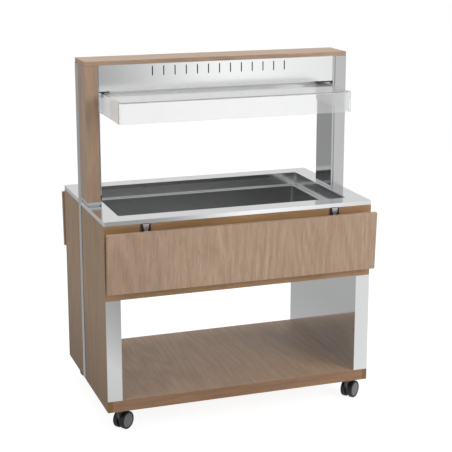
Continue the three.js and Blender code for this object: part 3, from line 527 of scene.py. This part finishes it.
# Other sheet steel
for side in ("left", "right"):
    fineCopy(side + "_wall_liner", 0.5 * mm, polishedWall)
    fineCopy(side + "_post_lining", 0.6 * mm, polishedPost)
    fineCopy(side + "_guard_rail", 1.2 * mm, satinBlack)
for end in ("front", "rear"):
    fineCopy(f"gantry_{end}_panel", 0, brushedPanel)
fineCopy("lamp_tray", 0.4 * mm, lampMirror)
fineCopy("bay_ceiling", 0.4 * mm, brushedPanel)
print("sheet steel made")

# Spines: rectangular tube with rolled corners, open from end to end
spine = {"corner": 4.0 * mm, "wall": 2.0 * mm, "steps": 6}
for side in ("left", "right"):
    low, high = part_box(side + "_spine")
    tube = startBlock(side + "_spine_tube", low, high)
    openMesh(tube)
    pick(tube, "edges", isUpright)
    bpy.ops.mesh.bevel(offset=spine["corner"], segments=spine["steps"])
    boreThrough(tube, spine["wall"])
    closeMesh()
    smooth(tube)
    dress(tube, bodyOf(side + "_spine"), brushedSpine, (side + "_spine",))
print("spines made")


# A second one, turned half round about the middle of the trolley
def turnedCopy(thing, name):
    again = copyOf(thing, name)
    again.matrix_world = Matrix.Rotation(math.pi, 4, "Z") @ again.matrix_world
    return again


# Shadow gap: a black channel set back between each spine and the long end panel; its black is painted shade,
# standing in for the shade in the gap
gap = {"outer": 574 * mm, "inner": 564 * mm, "clear": 0.3 * mm, "short": 1 * mm, "lip": 2 * mm,
       "deep": 3 * mm, "edge": 0.4 * mm}
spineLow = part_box("left_spine")[0]
panelLow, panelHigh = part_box("left_front_panel")
strip = startBlock("left_gap_strip",
                   (-gap["outer"], panelHigh.y + gap["clear"], panelLow.z + gap["short"]),
                   (-gap["inner"], spineLow.y - gap["clear"], panelHigh.z - gap["short"]))
openMesh(strip)
pick(strip, "faces", lambda face: face.normal.x < -0.9)
bpy.ops.mesh.inset(thickness=gap["lip"])
push(x=gap["deep"])
closeMesh()
easeSheet(strip, gap["edge"])
smooth(strip)
rightStrip = turnedCopy(strip, "right_gap_strip")
for side, thing in (("left", strip), ("right", rightStrip)):
    dress(thing, bodyOf(side + "_spine"), blackPlastic)

# Baffles: black folded sheets under the top board that close the view through the slots; their black is
# painted shade, standing in for the shade inside the gantry
baffle = {"half": 508 * mm, "face": 58 * mm, "sheet": 1.2 * mm, "foot": 1411 * mm, "top": 1471.8 * mm,
          "flange": 12 * mm, "return": 8 * mm, "edge": 0.4 * mm}
sheet = startBlock("front_gantry_baffle", (-baffle["half"], -baffle["face"], baffle["foot"]),
                   (baffle["half"], -baffle["face"] + baffle["sheet"], baffle["top"]))
openMesh(sheet)
for height in (baffle["foot"] + baffle["sheet"], baffle["top"] - baffle["sheet"]):
    split((0, 0, height), (0, 0, 1))
for low, high, reach in ((baffle["top"] - baffle["sheet"], baffle["top"], baffle["flange"]),
                         (baffle["foot"], baffle["foot"] + baffle["sheet"], baffle["return"])):
    pick(sheet, "faces", lambda face, low=low, high=high: face.normal.y > 0.9
         and low < face.calc_center_median().z < high)
    push(y=reach)
closeMesh()
easeSheet(sheet, baffle["edge"])
smooth(sheet)
rearSheet = turnedCopy(sheet, "rear_gantry_baffle")
for thing in (sheet, rearSheet):
    dress(thing, bodyOf("top_board"), satinBlack)
print("gap strips and baffles made")

# Screws: pan heads with a cross recess
screw = {"radius": 3.2 * mm, "tall": 1.7 * mm, "dome": 0.8 * mm, "slot": 0.42 * mm, "reach": 1.7 * mm,
         "deep": 0.8 * mm, "sides": 32}


def makeScrew():
    head = startRod("screw_pattern", screw["radius"], 0, screw["tall"], screw["sides"])
    openMesh(head)
    pick(head, "edges", lambda edge: isLevel(edge) and edgeMiddle(edge).z > screw["tall"] / 2)
    bpy.ops.mesh.bevel(offset=screw["dome"], segments=4)
    for distance in (screw["slot"], screw["reach"]):
        for way in (-1, 1):
            split((way * distance, 0, 0), (1, 0, 0))
            split((0, way * distance, 0), (0, 1, 0))

    def inCross(face):
        middle = face.calc_center_median()
        across, reach = sorted((abs(middle.x), abs(middle.y)))
        return face.normal.z > 0.99 and across < screw["slot"] and reach < screw["reach"]

    pick(head, "faces", inCross)
    push(z=-screw["deep"])
    closeMesh()
    smooth(head, 30)
    return head


screwPattern = makeScrew()


def setScrew(name, body, at, up):
    head = copyOf(screwPattern, name)
    standOn(head, at, up)
    dress(head, body, screwSteel)


# Sneeze guard: one heat-bent sheet, open behind and below
guard = {"corner": 22 * mm, "cornerSteps": 14, "bend": 8 * mm, "bendSteps": 8, "merge": 0.01 * mm,
         "thick": 5 * mm, "edge": 0.6 * mm}
low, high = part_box("sneeze_guard")
hood = startBlock("guard_hood", low, high)
openMesh(hood)
pick(hood, "faces", lambda face: face.normal.z < -0.9 or face.normal.y > 0.9)
bpy.ops.mesh.delete(type="FACE")
pick(hood, "edges", lambda edge: isUpright(edge) and edgeMiddle(edge).y < (low.y + high.y) / 2)
bpy.ops.mesh.bevel(offset=guard["corner"], segments=guard["cornerSteps"])
pick(hood, "edges", lambda edge: edgeMiddle(edge).z > high.z - 0.1 * mm and isLevel(edge)
     and not edge.is_boundary)
bpy.ops.mesh.bevel(offset=guard["bend"], segments=guard["bendSteps"])
bpy.ops.mesh.select_all(action="SELECT")
bpy.ops.mesh.remove_doubles(threshold=guard["merge"])
bpy.ops.mesh.normals_make_consistent(inside=False)
closeMesh()
useModifier(hood, "SOLIDIFY", thickness=guard["thick"], offset=-1)
easeSheet(hood, guard["edge"])
smooth(hood, 40)
dress(hood, bodyOf("sneeze_guard"), clearAcrylic, ("sneeze_guard",))

# Guard knobs: fluted barrel, neck and stud
knob = {"radius": 6 * mm, "sides": 48, "grip": 15 * mm, "neck": 3 * mm, "round": 1.2 * mm,
        "shoulder": 0.6 * mm, "step": 1.6 * mm, "flute": 0.3 * mm, "land": 0.08 * mm,
        "leastSide": 8 * mm * mm}
for side in ("left", "right"):
    low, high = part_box(side + "_guard_knob")
    centre = (low + high) / 2
    grip = startRod(side + "_guard_knob_grip", knob["radius"], 0, knob["grip"], knob["sides"])
    openMesh(grip)
    pick(grip, "edges", isLevel)
    bpy.ops.mesh.bevel(offset=knob["round"], segments=3)
    pick(grip, "faces", lambda face: face.normal.z > 0.99)
    bpy.ops.mesh.inset(thickness=knob["shoulder"])
    push(z=knob["neck"])
    bpy.ops.mesh.inset(thickness=knob["step"])
    push(z=high.z - low.z - knob["grip"] - knob["neck"])
    pick(grip, "faces", lambda face: abs(face.normal.z) < 0.1 and face.calc_area() > knob["leastSide"]
         and sideNumber(face, knob["sides"]) % 2 == 0)
    bpy.ops.mesh.inset(thickness=knob["land"], depth=-knob["flute"], use_individual=True)
    closeMesh()
    smooth(grip)
    grip.location = (centre.x, centre.y, low.z)
    dress(grip, bodyOf(side + "_guard_knob"), brushedPlate, (side + "_guard_knob",))
print("guard made")

# Heat lamp: ruby quartz tube with its coil and ceramic caps
lamp = {"glass": 7 * mm, "wall": 1.2 * mm, "inCap": 4 * mm, "sides": 40, "coil": 1.5 * mm, "coilSides": 10,
        "turns": 180, "pinch": 0.55, "cap": 9 * mm, "capLong": 24 * mm, "capEdge": 1 * mm,
        "bands": ((9, 11), (15, 17)), "bandEdge": 0.2 * mm, "bandDeep": 0.9 * mm}
low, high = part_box("lamp_tube")
lampZ = (low.z + high.z) / 2
lampBody = bodyOf("lamp_tube")
inner = high.x - lamp["capLong"]
glass = startRod("lamp_glass", lamp["glass"], -inner - lamp["inCap"], inner + lamp["inCap"], lamp["sides"])
openMesh(glass)
boreThrough(glass, lamp["wall"])
closeMesh()
smooth(glass)
standOn(glass, (0, 0, lampZ), (1, 0, 0))
dress(glass, lampBody, rubyQuartz, ("lamp_tube",))

coil = startRod("lamp_coil", lamp["coil"], -inner, inner, lamp["coilSides"])
openMesh(coil)
pick(coil, "edges", isUpright)
bpy.ops.mesh.subdivide(number_cuts=lamp["turns"])
step = 2 * inner / (lamp["turns"] + 1)
pick(coil, "verts", lambda vert: round((vert.co.z + inner) / step) % 2 == 1)
bpy.ops.transform.resize(value=(lamp["pinch"], lamp["pinch"], 1), center_override=(0, 0, 0))
closeMesh()
smooth(coil, 60, weighted=False)
standOn(coil, (0, 0, lampZ), (1, 0, 0))
dress(coil, lampBody, screwSteel)

for side, way in (("left", -1), ("right", 1)):
    cap = startRod(side + "_lamp_cap", lamp["cap"], 0, lamp["capLong"], lamp["sides"])
    openMesh(cap)
    pick(cap, "edges", isLevel)
    bpy.ops.mesh.bevel(offset=lamp["capEdge"], segments=3)
    for band in lamp["bands"]:
        for height in band:
            split((0, 0, height * mm), (0, 0, 1))
    pick(cap, "faces", lambda face: abs(face.normal.z) < 0.1
         and any(foot < face.calc_center_median().z / mm < top for foot, top in lamp["bands"]))
    bpy.ops.mesh.inset(thickness=lamp["bandEdge"], depth=-lamp["bandDeep"])
    closeMesh()
    smooth(cap)
    standOn(cap, (way * inner, 0, lampZ), (way, 0, 0))
    dress(cap, lampBody, ceramicWhite)
print("lamp made")

# Flap brackets with their tongues, and the leaves that carry the flaps
tongue = {"top": 13 * mm, "tip": 4 * mm, "long": 50 * mm, "face": 22.6 * mm, "proud": 0.5 * mm,
          "edge": 0.2 * mm, "screwAcross": 7 * mm, "screwDown": 7 * mm}
leaf = {"face": -4.7 * mm, "rows": (45, 90, 132), "across": 9 * mm, "lean": 3}
for end in ("front", "rear"):
    away = -1 if end == "front" else 1
    hinge = Vector(joints[end + "_flap_hinge"]["pos_m"])
    lean = math.radians(leaf["lean"])
    # Known fault: this lean is the wrong way round, so the leaf screws lie inside the board
    backward = Vector((0, -away * math.cos(lean), -math.sin(lean)))
    upward = Vector((0, -away * math.sin(lean), math.cos(lean)))
    for side in ("left", "right"):
        name = f"{end}_{side}"
        bracketBody = bodyOf(name + "_flap_bracket")
        fineCopy(name + "_flap_bracket", 0.6 * mm, satinBlack)
        fineCopy(name + "_flap_leaf", 0.6 * mm, brushedPlate, smoothAngle=40)
        low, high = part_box(name + "_flap_bracket")
        middle, foot = (low.x + high.x) / 2, high.z - tongue["long"]
        faceY = hinge.y - away * tongue["face"]
        proudY = faceY + away * tongue["proud"]
        plate = startBlock(name + "_bracket_tongue", (middle - tongue["top"], min(faceY, proudY), foot),
                           (middle + tongue["top"], max(faceY, proudY), high.z))
        openMesh(plate)
        pick(plate, "verts", lambda vert: vert.co.z < foot + tongue["long"] / 2)
        bpy.ops.transform.resize(value=(tongue["tip"] / tongue["top"], 1, 1),
                                 center_override=(middle, faceY, foot))
        pick(plate, "edges", lambda edge: not isLevel(edge) or edgeMiddle(edge).z < foot + tongue["long"] / 2)
        bpy.ops.mesh.bevel(offset=tongue["edge"], segments=2)
        closeMesh()
        smooth(plate)
        dress(plate, bracketBody, brushedPlate)
        for index, shift in enumerate((-tongue["screwAcross"], tongue["screwAcross"])):
            setScrew(f"{name}_tongue_screw_{index + 1}", bracketBody,
                     (middle + shift, proudY, high.z - tongue["screwDown"]), (0, away, 0))
        for row in leaf["rows"]:
            for index, shift in enumerate((-leaf["across"], leaf["across"])):
                at = hinge + backward * leaf["face"] - upward * row * mm
                at.x = middle + shift
                setScrew(f"{name}_leaf_screw_{row}_{index + 1}", bodyOf(name + "_flap_leaf"), at, backward)
print("flap brackets made")

# Castors: tyre, disc and hood, made once and stood on each axle
castor = {"tyreRadius": 37.5 * mm, "wide": 20 * mm, "gap": 14 * mm, "shoulder": 4 * mm, "hollow": 14 * mm,
          "discRadius": 30 * mm, "discClear": 0.3 * mm, "discSet": 1 * mm, "discLong": 12 * mm,
          "discEdge": 1 * mm, "discRings": ((4.5, 0), (1.2, -0.8), (8, 1.2), (7, 0.7)), "sides": 72}


def makeTyre(name):
    tyre = startRod(name, castor["tyreRadius"], 0, castor["wide"], castor["sides"])
    openMesh(tyre)
    pick(tyre, "edges", isLevel)
    bpy.ops.mesh.bevel(offset=castor["shoulder"], segments=5)
    pick(tyre, "faces", lambda face: face.normal.z > 0.99)
    rim = castor["tyreRadius"] - castor["shoulder"] - castor["discRadius"]
    bpy.ops.mesh.inset(thickness=rim - castor["discClear"])
    push(z=-castor["hollow"])
    closeMesh()
    smooth(tyre, 30)
    return tyre


def makeDisc(name):
    top = castor["wide"] - castor["discSet"]
    foot = top - castor["discLong"]
    disc = startRod(name, castor["discRadius"], foot, top, castor["sides"])
    openMesh(disc)
    pick(disc, "edges", lambda edge: isLevel(edge) and edgeMiddle(edge).z > (foot + top) / 2)
    bpy.ops.mesh.bevel(offset=castor["discEdge"], segments=3)
    pick(disc, "faces", lambda face: face.normal.z > 0.99)
    for wide, rise in castor["discRings"]:
        bpy.ops.mesh.inset(thickness=wide * mm, depth=rise * mm)
    closeMesh()
    smooth(disc, 30)
    return disc


tyrePattern, discPattern = makeTyre("tyre_pattern"), makeDisc("disc_pattern")
for end in ("front", "rear"):
    for side in ("left", "right"):
        name = f"{end}_{side}"
        fineCopy(name + "_castor_housing", 1.4 * mm, castorHood, smoothAngle=50)
        for letter in ("a", "b"):
            node = f"{name}_wheel_{letter}"
            joint = joints[f"{node}_roll"]
            hub, axle = Vector(joint["pos_m"]), Vector(joint["axis"])
            low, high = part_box(node)
            outward = axle if ((low + high) / 2 - hub).dot(axle) > 0 else -axle
            for model, part, slotName, finish in ((tyrePattern, "tyre", "castor_tyre", tyreBlack),
                                                  (discPattern, "disc", "castor_plastic", castorGrey)):
                thing = copyOf(model, f"{node}_{part}")
                standOn(thing, hub + outward * castor["gap"] / 2, outward)
                dress(thing, bodyOf(node), finish, (node,) if part == "tyre" else ())

# Brake pedals with three grip ribs across the tread
pedal = {"tilt": math.radians(12), "top": 8.9 * mm, "half": 12 * mm, "rows": (14, 19, 24), "wide": 1.6 * mm,
         "tall": 0.8 * mm, "sunk": 0.3 * mm, "edge": 0.35 * mm, "trail": (0.8, 0.6, 0)}
trailing = Vector(pedal["trail"])
along = trailing * math.cos(pedal["tilt"]) - Vector((0, 0, math.sin(pedal["tilt"])))
up = trailing * math.sin(pedal["tilt"]) + Vector((0, 0, math.cos(pedal["tilt"])))
for side in ("left", "right"):
    node = f"rear_{side}_brake_pedal"
    fineCopy(node, 0.8 * mm, blackPlastic)
    pin = Vector(joints[f"rear_{side}_brake_release"]["pos_m"])
    for row in pedal["rows"]:
        rib = startBlock(f"{node}_rib_{row}", (row * mm, -pedal["half"], pedal["top"] - pedal["sunk"]),
                         (row * mm + pedal["wide"], pedal["half"], pedal["top"] + pedal["tall"]))
        openMesh(rib)
        pick(rib, "edges", lambda edge: edgeMiddle(edge).z > pedal["top"])
        bpy.ops.mesh.bevel(offset=pedal["edge"], segments=3)
        closeMesh()
        smooth(rib)
        standIn(rib, pin, along, up)
        dress(rib, bodyOf(node), blackPlastic)
print("castors made")

# Drain, cable gland and the parts that stay plain CAD pieces with better finishes
fineCopy("drain_valve", 0.5 * mm, valveBrass)
fineCopy("drain_lever", 1.0 * mm, redPlastic)
fineCopy("cable_gland", 0.6 * mm, blackPlastic)
for node, finish in (("well_jacket", woolYellow), ("heating_element", brushedPlate)):
    nodes[node].data.materials.clear()
    nodes[node].data.materials.append(finish)

# Controls: plate with screws, dial marks and lens, fluted knob, rocker
controls = {"face": 555.7 * mm, "y": 230 * mm, "z": 800 * mm, "clear": 0.3 * mm,
            "screws": ((-66, -33), (66, -33), (66, 33), (-66, 33))}
fineCopy("control_plate", 0.3 * mm, brushedPlate)
fineCopy("power_switch", 0.5 * mm, redPlastic)
plateBody = bodyOf("control_plate")
for index, (y, z) in enumerate(controls["screws"]):
    setScrew(f"control_screw_{index + 1}", plateBody,
             (controls["face"], controls["y"] + y * mm, controls["z"] + z * mm), (1, 0, 0))

# Dial marks run clockwise from the top over the knob's whole travel, the first and last a little longer
mark = {"inner": 21.5 * mm, "long": 4 * mm, "endShare": 1.4, "wide": 0.8 * mm, "tall": 0.25 * mm,
        "corner": 0.3 * mm, "count": 11}
knobAt = Vector(joints["thermostat_turn"]["pos_m"])
travel = joints["thermostat_turn"]["range_deg"][1]
for index in range(mark["count"]):
    angle = math.radians(index * travel / (mark["count"] - 1))
    long = mark["long"] * (mark["endShare"] if index in (0, mark["count"] - 1) else 1)
    tick = startBar(f"dial_mark_{index + 1}", (-mark["wide"] / 2, mark["inner"], 0),
                    (mark["wide"] / 2, mark["inner"] + long, mark["tall"]), mark["corner"])
    standIn(tick, (controls["face"], knobAt.y, knobAt.z), (0, math.cos(angle), -math.sin(angle)), (1, 0, 0))
    dress(tick, plateBody, blackPlastic)

pilot = {"radius": 4.3 * mm, "tall": 2.9 * mm, "dome": 1.8 * mm, "sides": 40}
lens = startRod("pilot_lens", pilot["radius"], 0, pilot["tall"], pilot["sides"])
openMesh(lens)
pick(lens, "edges", lambda edge: isLevel(edge) and edgeMiddle(edge).z > pilot["tall"] / 2)
bpy.ops.mesh.bevel(offset=pilot["dome"], segments=6)
closeMesh()
smooth(lens, 40)
standOn(lens, (controls["face"], controls["y"], controls["z"]), (1, 0, 0))
dress(lens, plateBody, amberLens)

# Thermostat knob: skirt, tapered and fluted grip, raised pointer
dial = {"radius": 19 * mm, "foot": 0.2 * mm, "skirt": 4 * mm, "neck": 17.6 * mm, "tall": 14 * mm,
        "taper": 0.95, "edge": 0.7 * mm, "gripFrom": 6 * mm, "sides": 72, "fluteEvery": 3,
        "flute": 0.7 * mm, "land": 0.1 * mm, "leastSide": 6 * mm * mm, "pointer": 2.5 * mm,
        "rise": 2.8 * mm, "pointerEdge": 0.4 * mm}
turner = startRod("thermostat_knob_grip", dial["radius"], dial["foot"], dial["skirt"], dial["sides"])
openMesh(turner)
pick(turner, "faces", lambda face: face.normal.z > 0.99)
bpy.ops.mesh.inset(thickness=dial["radius"] - dial["neck"])
push(z=dial["tall"] - dial["skirt"])
bpy.ops.transform.resize(value=(dial["taper"], dial["taper"], 1), center_override=(0, 0, 0))
pick(turner, "edges", lambda edge: isLevel(edge) and edgeMiddle(edge).z > dial["skirt"] / 2)
bpy.ops.mesh.bevel(offset=dial["edge"], segments=3)
pick(turner, "faces", lambda face: abs(face.normal.z) < 0.3
     and face.calc_center_median().z > dial["gripFrom"] and face.calc_area() > dial["leastSide"]
     and sideNumber(face, dial["sides"]) % dial["fluteEvery"] == 0)
bpy.ops.mesh.inset(thickness=dial["land"], depth=-dial["flute"], use_individual=True)
for way in (-1, 1):
    split((way * dial["pointer"], 0, 0), (1, 0, 0))
split((0, 0, 0), (0, 1, 0))
pick(turner, "faces", lambda face: face.normal.z > 0.99 and face.calc_center_median().z > dial["gripFrom"]
     and abs(face.calc_center_median().x) < dial["pointer"] and face.calc_center_median().y > 0)
push(z=dial["rise"])
pick(turner, "edges", lambda edge: isFold(edge) and isLevel(edge)
     and edgeMiddle(edge).z > dial["tall"] + dial["rise"] / 2)
bpy.ops.mesh.bevel(offset=dial["pointerEdge"], segments=2)
closeMesh()
smooth(turner)
knobFoot = (controls["face"] + controls["clear"], knobAt.y, knobAt.z)
standIn(turner, knobFoot, (0, 1, 0), (1, 0, 0))
dress(turner, bodyOf("thermostat_knob"), blackPlastic, ("thermostat_knob",))

# White line let into the pointer, so the setting can be read
inlay = {"half": 0.8 * mm, "start": 4 * mm, "end": 15 * mm, "low": 16.5 * mm, "high": 17 * mm,
         "corner": 0.5 * mm}
line = startBar("thermostat_pointer_line", (-inlay["half"], inlay["start"], inlay["low"]),
                (inlay["half"], inlay["end"], inlay["high"]), inlay["corner"])
standIn(line, knobFoot, (0, 1, 0), (1, 0, 0))
dress(line, bodyOf("thermostat_knob"), markWhite)
for model in (screwPattern, tyrePattern, discPattern):
    bpy.data.objects.remove(model)
print("controls made")

# Stage: pale floor, white to the camera, that keeps the trolley's shadow. In mirror reflections its tone goes
# by direction, so that polished steel shows bands: 0.25 is the left, 0.5 the front, 0.75 the right
stage = {"half": 300, "grey": 0.82, "rough": 0.9, "seen": 0.7, "glossShare": 0.9, "white": 1.28, "sky": 0.44,
         "skyGloss": 0.74, "gain": 1.3,
         "floorGloss": [(0.0, 0.44), (0.25, 0.48), (0.45, 0.76), (0.5, 0.33), (0.53, 0.34), (0.552, 1.28),
                        (0.568, 1.04), (0.585, 0.84), (0.64, 0.95), (0.75, 0.7), (1.0, 0.44)]}
bpy.ops.object.select_all(action="DESELECT")
bpy.ops.mesh.primitive_plane_add(size=stage["half"] * 2)
floor = bpy.context.active_object
floor.name = "floor"
finish, tree, shader = newFinish("paleFloor")
shader.inputs["Base Color"].default_value = (stage["grey"], stage["grey"], stage["grey"], 1)
shader.inputs["Roughness"].default_value = stage["rough"]
rays = addNode(tree, "ShaderNodeLightPath")
through = rays.outputs["Is Transmission Ray"]
glossy = mathOn(tree, "MULTIPLY", rays.outputs["Is Glossy Ray"], mathOn(tree, "SUBTRACT", 1.0, through))
seen = mathOn(tree, "MAXIMUM", rays.outputs["Is Camera Ray"], through)
seen = mathOn(tree, "MULTIPLY", seen, stage["seen"])
spot = place(tree)
around = mathOn(tree, "ARCTAN2", axisOf(tree, spot, 0), mathOn(tree, "MULTIPLY", axisOf(tree, spot, 1), -1.0))
around = mathOn(tree, "MULTIPLY_ADD", around, 1 / math.tau, 0.5)
tone = rampOn(tree, around, [(at, (level / stage["gain"],) * 3) for at, level in stage["floorGloss"]])
white = addNode(tree, "ShaderNodeEmission", {"Strength": stage["gain"]})
tree.links.new(mixOn(tree, glossy, (stage["white"] / stage["gain"],) * 3, tone), white.inputs["Color"])
blend = addNode(tree, "ShaderNodeMixShader")
mirrored = mathOn(tree, "MULTIPLY", glossy, stage["glossShare"])
tree.links.new(mathOn(tree, "MAXIMUM", seen, mirrored), blend.inputs[0])
tree.links.new(shader.outputs[0], blend.inputs[1])
tree.links.new(white.outputs[0], blend.inputs[2])
tree.links.new(blend.outputs[0], tree.nodes["Material Output"].inputs["Surface"])
floor.data.materials.append(finish)

world = bpy.data.worlds.new("studio")
bpy.context.scene.world = world
world.use_nodes = True
tree = world.node_tree
back = tree.nodes["Background"]
rays = addNode(tree, "ShaderNodeLightPath")
seen = mathOn(tree, "MAXIMUM", rays.outputs["Is Camera Ray"], rays.outputs["Is Transmission Ray"])
extra = stage["skyGloss"] - stage["sky"]
level = mathOn(tree, "MULTIPLY_ADD", rays.outputs["Is Glossy Ray"], extra, stage["sky"])
level = mathOn(tree, "MAXIMUM", seen, level)
tree.links.new(level, back.inputs["Strength"])
back.inputs["Color"].default_value = (1, 1, 1, 1)

lamps = {
    "key": {"at": (2.2, -3.2, 2.1), "aim": (0, 0, 0.7), "size": 1.9, "power": 82},
    "left": {"at": (-1.9, -1.1, 2.4), "aim": (-0.5, 0, 1.0), "size": 1.0, "power": 11},
    "top": {"at": (0.3, 0.6, 4.2), "aim": (0, 0, 0.9), "size": 2.6, "power": 75},
}
for name, setting in lamps.items():
    lampData = bpy.data.lights.new(name + "Lamp", "AREA")
    lampData.size = setting["size"]
    lampData.energy = setting["power"]
    light = bpy.data.objects.new(name + "Lamp", lampData)
    bpy.context.scene.collection.objects.link(light)
    light.visible_glossy = False
    light.visible_transmission = False
    light.location = setting["at"]
    towards = Vector(setting["aim"]) - Vector(setting["at"])
    light.rotation_euler = towards.to_track_quat("-Z", "Y").to_euler()

look = {"lens": 98.37, "sensor": 36, "place": (-1.6721, -4.9112, 2.0762), "yaw": 19.39, "pitch": 13.41,
        "shiftY": -0.0465}
cameraData = bpy.data.cameras.new("camera")
cameraData.lens = look["lens"]
cameraData.sensor_width = look["sensor"]
cameraData.shift_y = look["shiftY"]
camera = bpy.data.objects.new("camera", cameraData)
bpy.context.scene.collection.objects.link(camera)
camera.location = look["place"]
camera.rotation_euler = (math.radians(90 - look["pitch"]), 0, math.radians(-look["yaw"]))
bpy.context.scene.camera = camera
bpy.context.scene.view_settings.view_transform = "Standard"
print("stage, lamps and camera set")
